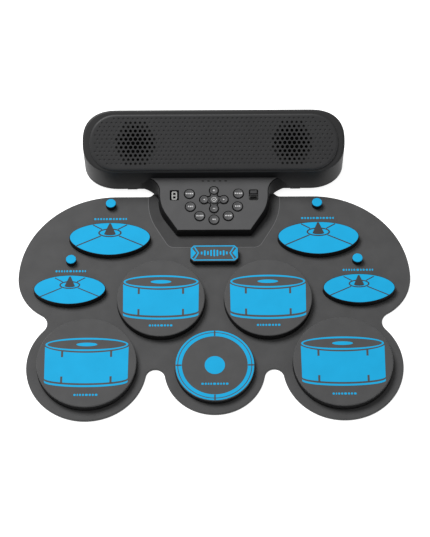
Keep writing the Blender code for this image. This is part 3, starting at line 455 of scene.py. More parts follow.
class Solid:
    """A closed mesh in the making. Points are in millimetres; slot is the material of the next faces."""

    def __init__(self):
        self.bm = bmesh.new()
        self.slot = 0
        self.finish = []  # material of the faces that it leaves when it carves another solid

    def ring(self, points):
        return [self.bm.verts.new(Vector(p) * MM) for p in points]

    def face(self, verts):
        self.bm.faces.new(verts).material_index = self.slot

    def bridge(self, a, b):
        for i, v in enumerate(a):
            j = (i + 1) % len(a)
            self.face((v, a[j], b[j], b[i]))

    def extend(self, ring, outlines):
        """Walls from a made ring through new ones, of which it returns the last."""
        for points in outlines:
            following = self.ring(points)
            self.bridge(ring, following)
            ring = following
        return ring

    def walls(self, rings):
        """Rings joined one after the other; returns the first and the last as vertices."""
        first = self.ring(rings[0])
        return first, self.extend(first, rings[1:])

    def cap(self, outer, holes=()):
        """Fills a ring, seen along z, leaving its holes open."""
        loops = [outer, *holes]
        verts = [v for loop in loops for v in loop]
        flat = [v.co.xy / MM for v in verts]
        edges, owner, first = [], [], 0
        for number, loop in enumerate(loops):
            count = len(loop)
            edges += [(first + i, first + (i + 1) % count) for i in range(count)]
            owner += [number] * count
            first += count
        _, _, triangles, origin, _, _ = delaunay_2d_cdt(flat, edges, [], 1, 1e-6)
        polygons = [[tuple(v.co.xy / MM) for v in loop] for loop in loops]
        for triangle in triangles:
            index = [origin[i][0] for i in triangle]
            rings = {owner[i] for i in index}
            if rings != {0} and len(rings) == 1:
                centre = sum((flat[i] for i in index), Vector((0, 0))) / 3
                if inside(centre, polygons[rings.pop()]):
                    continue
            self.face([verts[i] for i in index])

    def fill(self, *stacks):
        """A body through the first stack of rings, capped at both ends, with the other stacks as holes."""
        ends = [self.walls(rings) for rings in stacks]
        for outer, *holes in zip(*ends):
            self.cap(outer, holes)

    def prism(self, outline, z0, z1, holes=()):
        """A straight block between two levels, with straight holes through it."""
        self.fill(*([level(loop, z0), level(loop, z1)] for loop in (outline, *holes)))

    def ink(self, outline, base, holes=()):
        """One closed patch of ink that starts a little below the surface it lies on."""
        self.prism(outline, base - PRINT_H / 2, base + PRINT_H, holes)

    def cushion(self, outline, z0, z1, rounding):
        """A block with a rounded upper edge: outline gives the ring of an inset; the top has slot 1."""
        bottom, shoulder = self.walls([level(outline(0), z0), level(outline(0), z1 - rounding[0][1])])
        self.cap(bottom)
        self.slot = 1
        self.cap(self.extend(shoulder, [level(outline(inset), z1 - drop) for inset, drop in rounding[1:]]))

    def turned(self, profile, steps, x=0.0, y=0.0):
        """A body turned about the vertical through x, y, from (radius, z) points; it ends on that line."""
        rings = []
        for r, z in profile:
            rings.append(self.ring([(x, y, z)] if r == 0 else level(disc(x, y, r, steps), z)))
        for a, b in zip(rings, rings[1:]):
            if len(a) == len(b):
                self.bridge(a, b)
                continue
            tip, rim = (a, b) if len(a) == 1 else (b, a)
            for i in range(steps):
                self.face((tip[0], rim[i], rim[(i + 1) % steps]))

    def make(self, name, materials, sharp=35.0, matrix=FLAT):
        """The finished object, smooth except at edges sharper than the given angle."""
        bmesh.ops.recalc_face_normals(self.bm, faces=self.bm.faces)
        mesh = bpy.data.meshes.new(name)
        self.bm.to_mesh(mesh)
        self.bm.free()
        for key in materials:
            mesh.materials.append(MATS[key])
        obj = add_object(name, mesh, matrix)
        shade(obj, sharp)
        return obj

    def put(self, name, materials, slot, *nodes, body="root", sharp=35.0, matrix=FLAT):
        """Makes the piece and puts it in its place."""
        place(self.make(name, materials, sharp, matrix), body, slot, *nodes)


def place(obj, body, slot, *nodes):
    """Puts a piece on its CAD body and hides the CAD nodes it stands for."""
    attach(obj, body)
    if nodes:
        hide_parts(*nodes)


def shade(obj, sharp):
    obj.data.shade_smooth()
    obj.data.set_sharp_from_angle(angle=radians(sharp))
    if not obj.modifiers:
        weighted = obj.modifiers.new("even_normals", "WEIGHTED_NORMAL")
        weighted.keep_sharp = True


def carve(obj, solids, operation="DIFFERENCE", sharp=35.0):
    """Applies Booleans with each solid, then shades the result again."""
    obj.modifiers.clear()
    tools = []
    for solid in solids:
        cutter = solid.make(f"{obj.name}_tool_{len(tools)}", solid.finish)
        cutter.modifiers.clear()
        modifier = obj.modifiers.new("carve", "BOOLEAN")
        modifier.operation, modifier.object, modifier.solver = operation, cutter, "EXACT"
        modifier.material_mode = "TRANSFER" if solid.finish else "INDEX"
        tools.append(cutter)
    bpy.context.view_layer.update()
    mesh = bpy.data.meshes.new_from_object(obj.evaluated_get(bpy.context.evaluated_depsgraph_get()))
    obj.modifiers.clear()
    obj.data = mesh
    for cutter in tools:
        bpy.data.objects.remove(cutter)
    shade(obj, sharp)


def body_of(node):
    return frame["nodes"][node]["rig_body"]


Box = namedtuple("Box", "x y half_x half_y bottom top")


def node_box(node):
    """A CAD node's centre and half sizes in plan, and its lowest and highest level, in millimetres."""
    low, high = (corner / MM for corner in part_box(node))
    middle = (low.x + high.x) / 2, (low.y + high.y) / 2
    return Box(*middle, (high.x - low.x) / 2, (high.y - low.y) / 2, low.z, high.z)


# ---- printed layers


def dashes(cx, cy, widths, height, gap):
    """Outlines of a row of short bars, centred on cx, cy."""
    total = sum(widths) + gap * (len(widths) - 1)
    x = cx - total / 2
    bars = []
    for w in widths:
        bars.append(rounded_rectangle(x + w / 2, cy, w / 2, height / 2, min(w, height) * 0.35, 30))
        x += w + gap
    return bars


# ---- mat


def make_mat():
    backing = Solid()
    backing.prism(mat_outline(), 0.0, BACKING_TOP)
    backing.put("mat_underlay", ["backing"], "backing_rubber", "mat_backing")
    skin = Solid()
    rounding = [level(mat_outline(inset), MAT_TOP - drop) for inset, drop in quarter(MAT_EDGE_R)]
    skin.fill([level(mat_outline(), SKIN_BOTTOM), *rounding])
    cover = skin.make("mat_cover", ["mat"])
    over = MAT_TOP + 1.0  # the cutters stand out of the mat
    trough = Solid()
    # The trough's faces take the darker trough finish: painted shade on its slope and floor.
    trough.finish = ["trough"]
    lip = trough_outline(TROUGH_LIP, LIP_R)
    slope = [(trough_outline(TROUGH_FOOT), TROUGH_FLOOR), (trough_outline(TROUGH_LIP), MAT_TOP - 0.15)]
    trough.fill([level(outline, z) for outline, z in (*slope, (lip, MAT_TOP), (lip, over))])
    pockets = Solid()
    for node in (*DRUM_PADS, *CYMBAL_PADS):
        pockets.prism(offset(pad_outline(node), -POCKET_GAP), POCKET_FLOOR, over)
    carve(cover, [trough, pockets])
    place(cover, "root", "mat_rubber", "mat_skin")

    def lip_path(grow):
        loop = [(x, min(y, MAT_REAR_Y - 1.0)) for x, y in trough_outline(TROUGH_LIP, grow)]
        half = len(loop) // 2
        return loop[half:] + loop[:half]

    # A thin raised strip of the lighter lip finish along the trough's outer edge: a painted highlight line.
    bead = Solid()
    bead.prism(lip_path(1.5) + lip_path(0.7)[::-1], MAT_TOP - 0.1, MAT_TOP + 0.2)
    bead.put("painted_highlight_bead", ["lip"], "mat_rubber")


# ---- pads


def cymbal_depths(node):
    """Y of the widest line of a cymbal pad, and the pad's depth in front of it and behind it."""
    box = node_box(node)
    depth = 2 * box.half_y
    front = depth * CYMBAL_PADS[node]
    return box.y - box.half_y + front, front, depth - front


def pad_outline(node):
    """The pad's outline in plan, from its CAD box."""
    box = node_box(node)
    if node in DRUM_PADS:
        return disc(box.x, box.y, box.half_x, 120)
    middle, front, rear = cymbal_depths(node)
    return [(box.x + x, middle + y) for x, y in cymbal(box.half_x, front, rear)]


def make_pad(node, top_material):
    box, outline = node_box(node), pad_outline(node)
    solid = Solid()
    # The walls take the dark pad_side finish, partly painted shade; the top and its rounding take
    # top_material.
    solid.cushion(lambda inset: offset(outline, inset), box.bottom, box.top, quarter(PAD_EDGE_R, 5))
    name = node.replace("pad_", "cushion_")
    solid.put(name, ["pad_side", top_material], "pad_rubber", node, body=body_of(node))


def add_label(solid, cx, cy, widths, z, height=2.6, gap=1.1):
    """A row of short bars in place of a word."""
    for bar in dashes(cx, cy, widths, height, gap):
        solid.ink(bar, z)


def place_print(solid, node, kind, ink):
    """The print of a pad moves with it."""
    slot = "stud_rubber" if ink == "blue" else "pad_rubber"
    solid.put(node.replace("pad_", kind), [ink], slot, body=body_of(node))


def sag(cx, y, half_x, depth):
    """The front half of an ellipse from left to right: y at its ends and y - depth in its middle."""
    return [(cx + dx, y + dy) for dx, dy in superellipse(half_x, depth, 2, 180, 360, 24)]


def make_drum_print(node, art):
    """The blue picture of a drum: its rim, a spot on its head, its shell and hoop; and dark ticks on it."""
    box = node_box(node)
    cx, cy, z = box.x, box.y, box.top
    rim_y, shell_y = cy + art.rim_y, cy + art.shell_y
    blue = Solid()
    hole = ellipse(cx, rim_y, art.half_x - 2.2, art.rim_h - 2.3)
    blue.ink(ellipse(cx, rim_y, art.half_x, art.rim_h), z, [hole])
    blue.ink(ellipse(cx, rim_y, 12.0, 2.4), z)
    wide, tall = art.half_x + PICTURE_GAP, art.rim_h + PICTURE_GAP
    corner_x = art.half_x + 0.45  # the shell's sides stand out a little at their upper ends
    corner_y = rim_y - tall * sqrt(1 - (corner_x / wide) ** 2)
    upper = [p for p in sag(cx, rim_y, wide, tall) if abs(p[0] - cx) < art.half_x - 0.5]
    lower = sag(cx, shell_y + BOW, art.half_x, BOW)
    blue.ink(lower + [(cx + corner_x, corner_y), *upper[::-1], (cx - corner_x, corner_y)], z)
    hoop_top, hoop_low = (sag(cx, cy + y + BOW, art.half_x, BOW) for y in (art.hoop_top, art.hoop_low))
    blue.ink(hoop_low + hoop_top[::-1], z)
    add_label(blue, cx, cy + art.label_y, (2.6, 1.5, 2.4, 2.2, 3.2, 2.4, 2.2, 3.0), z)
    place_print(blue, node, "print_", "blue")
    dark = Solid()
    share, tick_h, past = 0.59, 8.2, 0.6  # place across the shell, length, and reach beyond the shell
    bulge = sqrt(1 - share**2)
    top, bottom = rim_y - tall * bulge + past, shell_y + BOW * (1 - bulge) - past
    for side in (-1, 1):
        for y in (top - tick_h / 2, bottom + tick_h / 2):
            dark.ink(rectangle(cx + side * share * art.half_x, y, 1.2, tick_h / 2), z + PRINT_H / 2)
    place_print(dark, node, "ticks_", "pad_top")


def make_bass_print(node):
    """Two blue rings and a spot, with four dark ticks across the rings."""
    box = node_box(node)
    cx, cy, r, z = box.x, box.y, box.half_x, box.top
    blue = Solid()
    for outer, width in ((r - 0.8, 2.1), (r - 3.9, 4.2)):
        blue.ink(disc(cx, cy, outer, 64), z, [disc(cx, cy, outer - width, 64)])
    blue.ink(disc(cx, cy, 11.6), z)
    add_label(blue, cx, cy - 24.0, (2.8, 2.2, 1.9, 2.0, 3.4, 2.6, 1.8, 2.3, 3.0), z)
    place_print(blue, node, "print_", "blue")
    dark = Solid()
    reach, long, thin = r - 4.4, 3.4, 0.9
    for way in (1, -1):
        dark.ink(rectangle(cx + way * reach, cy, long, thin), z + PRINT_H / 2)
        dark.ink(rectangle(cx, cy + way * reach, thin, long), z + PRINT_H / 2)
    place_print(dark, node, "ticks_", "pad_top")


def make_cymbal_print(node):
    """A blue cymbal with a dark bell, spindle and four lines, and its label on the mat behind it."""
    box = node_box(node)
    scale, cx, cy = box.half_x / 48.1, box.x, cymbal_depths(node)[0]
    blue = Solid()
    blue.ink(offset(pad_outline(node), 0.9), box.top)
    place_print(blue, node, "print_", "blue")

    def local(points):
        return [(cx + x * scale, cy + y * scale) for x, y in points]

    dark = Solid()
    over = box.top + PRINT_H / 2
    dark.ink(local(ellipse(0, 5.9, 13.9, 6.0)), over, [local(ellipse(0, 5.9, 12.0, 4.4))])
    dark.ink(local([(-6.8, 4.4), (6.8, 4.4), (0.9, 19.0), (-0.9, 19.0)]), over + PRINT_H)
    dark.ink(local(ellipse(0, 4.4, 6.8, 1.8, 32)), over + 2 * PRINT_H)
    for (x0, y0), (x1, y1) in (((10.7, 1.6), (39.2, -12.0)), ((9.5, 10.6), (20.2, 17.0))):
        for side in (-1, 1):
            start, end = Vector((side * x0, y0)), Vector((side * x1, y1))
            across = (end - start).orthogonal().normalized() * 0.7
            line = [tuple(p) for p in (start + across, end + across, end - across, start - across)]
            dark.ink(local(line), over)
    place_print(dark, node, "lines_", "dark_ink")
    label = Solid()
    widths = [w * scale for w in (2.6, 1.9, 2.3, 1.7, 2.5, 3.6, 1.9, 2.6, 3.0, 2.1, 1.8)]
    add_label(label, cx, box.y + box.half_y + 9.5, widths, MAT_TOP, 2.7, 1.3)
    label.put(node.replace("pad_", "label_"), ["blue"], "stud_rubber")


def make_stud(node):
    box = node_box(node)
    cx, cy, r = box.x, box.y, box.half_x
    wall_top = box.top - STUD_EDGE_R
    # The stud's wall takes the dark pad_side finish, partly painted shade.
    side = Solid()
    side.turned([(0, MAT_TOP), (r, MAT_TOP), (r, wall_top)], 64, cx, cy)
    side.put(node.replace("stud_", "peg_"), ["pad_side"], "pad_rubber")
    top = Solid()
    rounding = [(r - inset, box.top - drop) for inset, drop in quarter(STUD_EDGE_R)]
    top.turned([(0, wall_top - 0.2), (r - 0.05, wall_top - 0.2), *rounding, (0, box.top)], 64, cx, cy)
    top.put(node.replace("stud_", "peg_top_"), ["blue"], "stud_rubber", node)


def badge_ring(inset):
    box = node_box("badge_block")
    x, y = box.half_x - inset, box.half_y - inset
    c = BADGE_CORNER - inset * (2 - sqrt(2))
    corners = [(x - c, -y), (x, c - y), (x, y - c), (x - c, y)]
    return [(box.x + px, box.y + py) for px, py in corners + [(-px, py) for px, py in reversed(corners)]]


def make_badge():
    """An eight-sided block with a printed border, chevrons, triangles and a row of bars."""
    box = node_box("badge_block")
    solid = Solid()
    solid.cushion(badge_ring, MAT_TOP, box.top, quarter(BADGE_EDGE_R))
    # Dark pad_side walls, partly painted shade, under a lighter pad_top face.
    solid.put("badge", ["pad_side", "pad_top"], "pad_rubber", "badge_block", sharp=30)
    blue = Solid()
    blue.ink(badge_ring(0.9), box.top, [badge_ring(2.3)])
    chevron = [(22.4, 8.2), (24.1, 8.2), (19.5, 0), (24.1, -8.2), (22.4, -8.2), (17.8, 0)]
    triangle = [(26.0, 6.2), (26.0, -6.2), (21.4, 0)]
    for side in (-1, 1):
        for shape in (chevron, triangle):
            blue.ink([(box.x + side * x, box.y + y) for x, y in shape], box.top)
    bar_heights = (2.0, 3.6, 2.6, 4.2, 4.6, 4.2, 2.6, 3.6, 2.0)
    for i, tall in enumerate(bar_heights):
        x = (i - (len(bar_heights) - 1) / 2) * 3.7
        blue.ink(rounded_rectangle(box.x + x, box.y, 1.0, tall, 0.7, 30), box.top)
    blue.put("badge_print", ["blue"], "stud_rubber")


# ---- unit


def bar_foot_ring(inset=0.0):
    return level(stadium(*BAR_FOOT_PLAN, inset), SHELL_BOTTOM)


def bar_top_ring(inset=0.0, drop=0.0, share=1.0):
    """A ring of the tilted top face, lowered by drop, with a share of both at its front edge."""
    ring = []
    for x, y in stadium(*BAR_TOP_PLAN, inset, share):
        rearward = (y - BAR_TOP_FRONT_Y) / (BAR_TOP_REAR_Y - BAR_TOP_FRONT_Y)
        ring.append((x, y, BAR_FACE.top(y) - drop * (share + (1 - share) * rearward)))
    return ring


def make_bar():
    shell = Solid()
    roof = WALL / cos(BAR_TILT)
    rounding = [bar_top_ring(inset, drop, BAR_EDGE_FRONT) for inset, drop in quarter(BAR_EDGE_R, 9)]
    foot, shoulder = shell.walls([bar_foot_ring(), rounding[0]])
    shell.slot = 1
    rim = shell.extend(shoulder, rounding[1:])
    inner_foot, inner_rim = shell.walls([bar_foot_ring(WALL), bar_top_ring(WALL, roof)])
    shell.bridge(foot, inner_foot)
    openings = []
    for side in (-1, 1):
        circle = disc(side * SPEAKER_X, SPEAKER_S, SPEAKER_HOLE_R, 64)
        openings.append(shell.walls([BAR_FACE.at(circle, 0.0), BAR_FACE.at(circle, -WALL)]))
    for outer, holes in zip((rim, inner_rim), zip(*openings)):
        shell.cap(outer, holes)
    # Walls in case_wall, partly painted shade; the rounded edge and top in case.
    bar = shell.make("bar_shell", ["case_wall", "case"], 40)
    holes = Solid()
    for x, half_x, half_z in JACKS.values():
        outline = socket_outline(half_x + BARREL_ROOM, half_z + BARREL_ROOM)
        add_barrel(holes, x, [outline, outline], (BAR_REAR_Y - 8.0, BAR_REAR_Y + 3.0))
    carve(bar, [holes], sharp=40)
    place(bar, "root", "case_plastic", "housing_upper")


def tongue_ring(inset, drop):
    return [(x, y, TONGUE_FACE.top(y) - drop) for x, y in tongue_outline(inset)]


def recess_neck():
    """Radius of the fillets between the lobes of the recess, and how far their centres are across and up."""
    r, reach, neck = RECESS_LOBE_R, DPAD_REACH, RECESS_NECK
    slope = sqrt(2) * reach
    fillet = (neck**2 - slope * neck + reach**2 - r**2) / (2 * r + slope - 2 * neck)
    return fillet, (neck + fillet) / sqrt(2)


def recess_outline():
    """The cross-shaped recess: four round lobes joined by concave fillets."""
    fillet, diagonal = recess_neck()
    lobe, hollow = (DPAD_REACH, 0.0), (diagonal, diagonal)
    end, start = direction(lobe, hollow), direction(hollow, lobe)
    quadrant = arc(*lobe, RECESS_LOBE_R, -end, end, 8)
    quadrant += arc(*hollow, fillet, start, -270 - start, 10)[1:-1]
    return four_ways(quadrant, 0.0, DPAD_S)


def island_outline():
    """The flush plate inside the recess: it leaves a groove along the cross and round every key."""
    fillet, diagonal = recess_neck()
    key_r, wide = DPAD_KEY_R + ISLAND_GAP, fillet + ISLAND_GROOVE
    key, hollow = (DPAD_REACH, 0.0), (diagonal, diagonal)
    tip = outside_fillet(key, key_r, hollow, wide, 0.0)
    at_key, at_neck = direction(key, tip), direction(hollow, tip) % 360
    quadrant = arc(*key, key_r, 360 - at_key, at_key, 8)
    quadrant += arc(*hollow, wide, at_neck, 450 - at_neck, 8)[1:-1]
    return four_ways(quadrant, 0.0, DPAD_S)


def keys():
    """Every sprung key: node, x, distance up the slope and cap radius."""
    found = [(f"function_button_{i}", x, y, BUTTON_R) for i, (x, y) in enumerate(BUTTONS, 1)]
    for name, dx, dy in (("up", 0, 1), ("down", 0, -1), ("left", -1, 0), ("right", 1, 0)):
        found.append((f"dpad_key_{name}", dx * DPAD_REACH, DPAD_S + dy * DPAD_REACH, DPAD_KEY_R))
    found.append(("power_button", 0.0, DPAD_S, POWER_R))
    return found


def make_tongue():
    shell = Solid()
    roof = WALL / cos(TONGUE_TILT)
    foot_ring = level(tongue_outline(-TONGUE_DRAFT, FLARE_FOOT), SHELL_BOTTOM)
    foot, shoulder = shell.walls([foot_ring, tongue_ring(0, TONGUE_EDGE_R)])
    steps = [(2, PANEL_REBATE, TONGUE_EDGE_R), (2, PANEL_REBATE, PANEL_EDGE_R)]
    steps += [(1, PANEL_REBATE + inset, drop) for inset, drop in quarter(PANEL_EDGE_R)[1:]]
    for shell.slot, inset, drop in steps:
        shoulder = shell.extend(shoulder, [tongue_ring(inset, drop)])
    top_holes, inner_holes, recess_holes = [], [], []
    for node, x, s, cap_r in keys():
        r = cap_r + KEY_CLEAR
        sunk, dish = (0.0, KEY_DISH) if node.startswith("function_button") else (RECESS_DEPTH, 0.2)
        # Hole walls and the recess from here on take slot 2, the near-black recess finish: painted shade in
        # the gaps round keys, window and switch.
        shell.slot = 2
        rings = [(r + dish, -sunk), (r + dish / 4, -sunk - 0.35), (r, -sunk - 0.6), (r, -WALL)]
        upper, lower = shell.walls([TONGUE_FACE.at(disc(x, s, radius, 40), h) for radius, h in rings])
        (recess_holes if sunk else top_holes).append(upper)
        inner_holes.append(lower)
    for cx, cs, hx, hs in (WINDOW, SWITCH):
        rings = [(0.35, 0.0), (0.0, -0.35), (0.0, -WALL)]
        outlines = [TONGUE_FACE.at(rounded_rectangle(cx, cs, hx + g, hs + g, 0.9 + g), h) for g, h in rings]
        upper, lower = shell.walls(outlines)
        top_holes.append(upper)
        inner_holes.append(lower)
    cross = recess_outline()
    cross_rings = [(0.0, 0.0), (0.1, -0.15), (0.15, -RECESS_DEPTH)]
    upper, floor = shell.walls([TONGUE_FACE.at(offset(cross, inset), h) for inset, h in cross_rings])
    shell.cap(floor, recess_holes)
    top_holes.append(upper)
    shell.slot = 1
    shell.cap(shoulder, top_holes)
    shell.slot = 0
    inner_foot, inner_rim = shell.walls([level(tongue_outline(WALL), SHELL_BOTTOM), tongue_ring(WALL, roof)])
    shell.bridge(foot, inner_foot)
    shell.cap(inner_rim, inner_holes)
    # Walls in case_wall, partly painted shade; the top in panel.
    shell.put("tongue_shell", ["case_wall", "panel", "recess"], "case_plastic", "housing_upper", sharp=40)


def make_panel_details():
    """The plate inside the cross-shaped recess, the row of dashes behind the keys and the switch's frame."""
    island = Solid()
    island.prism(island_outline(), -RECESS_DEPTH - 0.1, -0.1, [disc(0, DPAD_S, POWER_R + KEY_CLEAR)])
    island.put("dpad_bezel", ["panel"], "case_plastic", sharp=30, matrix=PANEL)
    dots = Solid()
    for i in range(5):
        x = 0.5 + (i - 2) * 6.8
        dots.prism(rounded_rectangle(x, 63.6, 1.5, 0.55, 0.4, 30), -0.05, 0.06)
    x, y, hx, hs = SWITCH
    outer, inner = (rounded_rectangle(x, y, hx + g, hs + g, 0.9 + g) for g in (1.0, 0.4))
    dots.prism(outer, -0.05, 0.05, [inner])
    dots.put("panel_dashes", ["recess"], "case_plastic", matrix=PANEL)


def make_base():
    """Lower shell, with the notches in which the feet sit."""
    base = Solid()
    rounding = reversed(quarter(0.8))
    rings = [level(stadium(*BAR_FOOT_PLAN, inset), BASE_BOTTOM + rise) for inset, rise in rounding]
    base.fill([*rings, level(stadium(*BAR_FOOT_PLAN), BASE_TOP)])
    # The whole lower shell in case_wall, partly painted shade.
    under = base.make("base_shell", ["case_wall"])
    tongue = Solid()
    tongue.prism(tongue_outline(-TONGUE_DRAFT), TONGUE_UNDERSIDE, BASE_TOP)
    carve(under, [tongue], "UNION")
    cutter = Solid()
    for x, y in FEET:
        forward = 6.0 if y < (BAR_FRONT_Y + BAR_REAR_Y) / 2 else 0.0
        cutter.prism(rectangle(x, y - forward / 2, 6.3, 4.7 + forward / 2), BASE_BOTTOM - 1, 3.5)
    for x, y in SCREWS:
        head_r, shank_r, seat, over = 3.05, 1.7, 3.6, BASE_TOP + 1
        profile = [(0, 0), (head_r, 0), (head_r, seat), (shank_r, seat), (shank_r, over), (0, over)]
        cutter.turned(profile, 32, x, y)
    cutter.prism(rectangle(0, 100.0, 10.3, 0.6), 0, BASE_TOP + 1)
    carve(under, [cutter])
    place(under, "root", "case_plastic", "housing_base")


def make_foot(number):
    node = f"rubber_foot_{number}"
    box = node_box(node)
    front, rear = max(BAR_FRONT_Y, box.y - box.half_y - 1.5), box.y + box.half_y
    outline = rounded_rectangle(box.x, (front + rear) / 2, 6.2, (rear - front) / 2, 0.6)
    rings = [level(offset(outline, inset), box.bottom + drop) for inset, drop in reversed(quarter(0.5))]
    solid = Solid()
    solid.fill([*rings, level(outline, box.top)])
    solid.put(f"foot_{number}", ["foot"], "foot_rubber", node)


def make_screw(number):
    """A screw with a chamfered head, a cross drive and a pointed shank."""
    node = f"case_screw_{number}"
    box = node_box(node)
    low, head, r, shank = box.bottom, box.bottom + 1.1, box.half_x, 1.4
    profile = [(0, low), (r - 0.5, low), (r, low + 0.4), (r, head), (shank, head)]
    profile += [(shank, box.top - 1), (0, box.top)]
    solid = Solid()
    solid.turned(profile, 32, box.x, box.y)
    screw = solid.make(f"screw_{number}", ["steel"])
    drive = Solid()
    drive.prism(plus(1.5, 0.28, box.x, box.y), low - 1, low + 0.8)
    carve(screw, [drive])
    place(screw, "root", "steel", node)


def hole_radius(x, s):
    """Hole size in a cluster: widest at its middle."""
    far = min(hypot(x - side * SPEAKER_X, s - SPEAKER_S) for side in (-1, 1))
    share = min(1.0, far / (4.6 * HOLE_PITCH))
    return HOLE_R_CENTRE + (HOLE_R_EDGE - HOLE_R_CENTRE) * share**1.4


def cluster_cells():
    """Row of the hole grid, and place along it in half pitches, of every hole over a speaker."""
    for side in (-1, 1):
        middle = side * round(2 * SPEAKER_X / HOLE_PITCH)
        for row in range(-CLUSTER_ROWS, CLUSTER_ROWS + 1):
            count = 8 if row == 0 else 10 - abs(row)
            for i in range(count):
                yield row, middle + 2 * i - count + 1


def make_grille():
    """Perforated cover: through holes over the speakers, and shallow dimples on the rest of their grid."""
    bottom, top = GRILLE_GAP, GRILLE_GAP + GRILLE_T
    solid = Solid()
    wide, deep = GRILLE_EDGE
    edge = [level(stadium(*GRILLE_PLAN, inset * wide), top - drop * deep) for inset, drop in quarter(1.0, 6)]
    low, high = solid.walls([level(stadium(*GRILLE_PLAN), bottom), *edge])
    cells = list(cluster_cells())
    # The through holes' walls take slot 1, the near-black recess finish: painted shade inside the holes.
    solid.slot = 1
    holes = []
    for row, half in cells:
        x, s = half * HOLE_PITCH / 2, SPEAKER_S + row * HOLE_ROW
        r = hole_radius(x, s)
        rims = ((r + 0.15, top), (r, top - 0.2), (r, bottom))
        holes.append(solid.walls([level(disc(x, s, radius, 20), z) for radius, z in rims]))
    solid.slot = 0
    limit = stadium(*GRILLE_PLAN, 4.6)
    dimples, dimple_rings = [], ((1.25, top), (1.05, top - 0.15), (0.85, top - 0.7))
    for row in range(-CLUSTER_ROWS - 1, CLUSTER_ROWS + 2):
        for half in range(-54, 55):
            x, s = half * HOLE_PITCH / 2, SPEAKER_S + row * HOLE_ROW
            if (half + row) % 2 == 0 and (row, half) not in cells and inside((x, s), limit):
                rim, floor = solid.walls([level(disc(x, s, r, 12), z) for r, z in dimple_rings])
                solid.cap(floor)
                dimples.append(rim)
    solid.cap(high, [upper for upper, _ in holes] + dimples)
    solid.cap(low, [lower for _, lower in holes])
    cover = solid.make("grille_cover", ["grille", "recess"], 40, BAR_FACE.matrix)
    place(cover, "root", "grille_plastic", "speaker_grille")


# ---- controls


def cap_height(rho, r):
    """Height of a key's dished cap above the panel at a distance rho from its middle."""
    return CAP_TOP - CAP_DISH * (1 - min(1.0, rho / (r - CAP_EDGE_R)) ** 2)


def add_symbol(solid, outline, cx, cs, r, holes=()):
    """A patch of ink that follows the cap of the key at cx, cs; outlines are about the key's middle."""
    lift = 0.06

    def ring(points, rise):
        return [(cx + x, cs + y, cap_height(hypot(x, y), r) + rise) for x, y in points]

    solid.fill(*([ring(loop, -lift), ring(loop, lift)] for loop in (outline, *holes)))


def dense(points, step=0.35):
    """The outline with extra points along its straight stretches."""
    found = []
    for a, b in sides(points):
        count = max(1, ceil(dist(a, b) / step))
        found += [(a[0] + (b[0] - a[0]) * i / count, a[1] + (b[1] - a[1]) * i / count) for i in range(count)]
    return found


# Widths of the bars on each function button.
KEY_MARKS = ((2.2, 1.5, 2.1, 1.5), (1.6, 2.3, 1.1), (2.1, 1.4, 2.1, 1.3), (1.9, 1.6))
KEY_MARKS += ((2.4, 2.0, 2.4), (1.7, 1.4, 2.3), (2.2, 1.5, 2.2, 1.5))


def key_symbols(node):
    """Outlines, each with its holes, of the white mark on a key."""
    if node.startswith("function_button"):
        return [(bar, ()) for bar in dashes(0, 0.2, KEY_MARKS[int(node[-1]) - 1], 1.6, 0.5)]
    if node == "power_button":
        return [(disc(0, 0, 3.0, 40), (disc(0, 0, 2.35, 32),)), (disc(0, 0, 0.9, 20), ())]
    if node.endswith("up"):
        return [(plus(1.4, 0.38), ())]
    if node.endswith("down"):
        return [(rectangle(0, 0, 1.4, 0.38), ())]
    side = -1 if node.endswith("left") else 1
    return [([(side * (x + 0.2), y) for x, y in ((-1.1, 1.1), (1.1, 0), (-1.1, -1.1))], ())]


def make_keys():
    for node, x, s, r in keys():
        solid = Solid()
        profile = [(0, -4.0), (3.0, -4.0), (3.0, -3.6), (r + 0.7, -3.6), (r + 0.7, -2.8), (r, -2.8)]
        profile += [(r - inset, CAP_TOP - drop) for inset, drop in quarter(CAP_EDGE_R)]
        profile += [(r * share, cap_height(r * share, r)) for share in (0.75, 0.6, 0.45, 0.3, 0.15, 0.0)]
        solid.turned(profile, 48, x, s)
        solid.put(f"cap_{node}", ["key"], "key_rubber", node, body=body_of(node), sharp=40, matrix=PANEL)
        ink = Solid()
        for outline, holes in key_symbols(node):
            add_symbol(ink, dense(outline), x, s, r, [dense(hole) for hole in holes])
        ink.put(f"mark_{node}", ["white"], "key_rubber", body=body_of(node), sharp=40, matrix=PANEL)


def make_display():
    cx, cs, hx, hs = WINDOW
    lens = Solid()
    outline = rounded_rectangle(cx, cs, hx - 0.3, hs - 0.3, 0.7)
    top = -0.1
    lens.fill([level(outline, top - 1.0), level(outline, top - 0.2), level(offset(outline, 0.2), top)])
    lens.put("display_glass", ["window"], "display_window", "display_lens", matrix=PANEL)
    digit = Solid()
    low = cs - 0.5  # the figure sits a little low in its window
    counters = [rounded_rectangle(cx, low + side * 2.3, 1.6, 1.4, 0.6, 30) for side in (-1, 1)]
    digit.prism(rounded_rectangle(cx, low, 3.3, 5.3, 1.7), top - 0.05, top + 0.04, counters)
    digit.put("display_digit", ["digit"], "display_window", matrix=PANEL)


def make_switch():
    node = "power_switch_cap"
    hx, half = SWITCH[2] - 0.7, 4.0
    centre = Vector((SWITCH[0], SWITCH[1] + SWITCH[3] - half - 0.3))
    profile = [(-half, -6.0), (half, -6.0), (half, 0.4), (half - 0.2, 0.8), (half - 0.6, 1.0)]
    profile += [(-0.1, 1.0), (-0.4, 0.8), (-0.6, -0.4), (-1.4, -0.4), (-1.6, 0.7), (-1.9, 0.9), (-2.5, 0.9)]
    profile += [(-2.8, 0.7), (-3.0, -0.5), (-half, -0.5)]
    solid = Solid()
    ends = [solid.ring([(centre.x + x, centre.y + y, z) for y, z in profile]) for x in (-hx, hx)]
    solid.bridge(*ends)
    for end in ends:
        solid.face(end)
    solid.put("switch_thumb", ["switch"], "switch_plastic", node, body=body_of(node), sharp=30, matrix=PANEL)


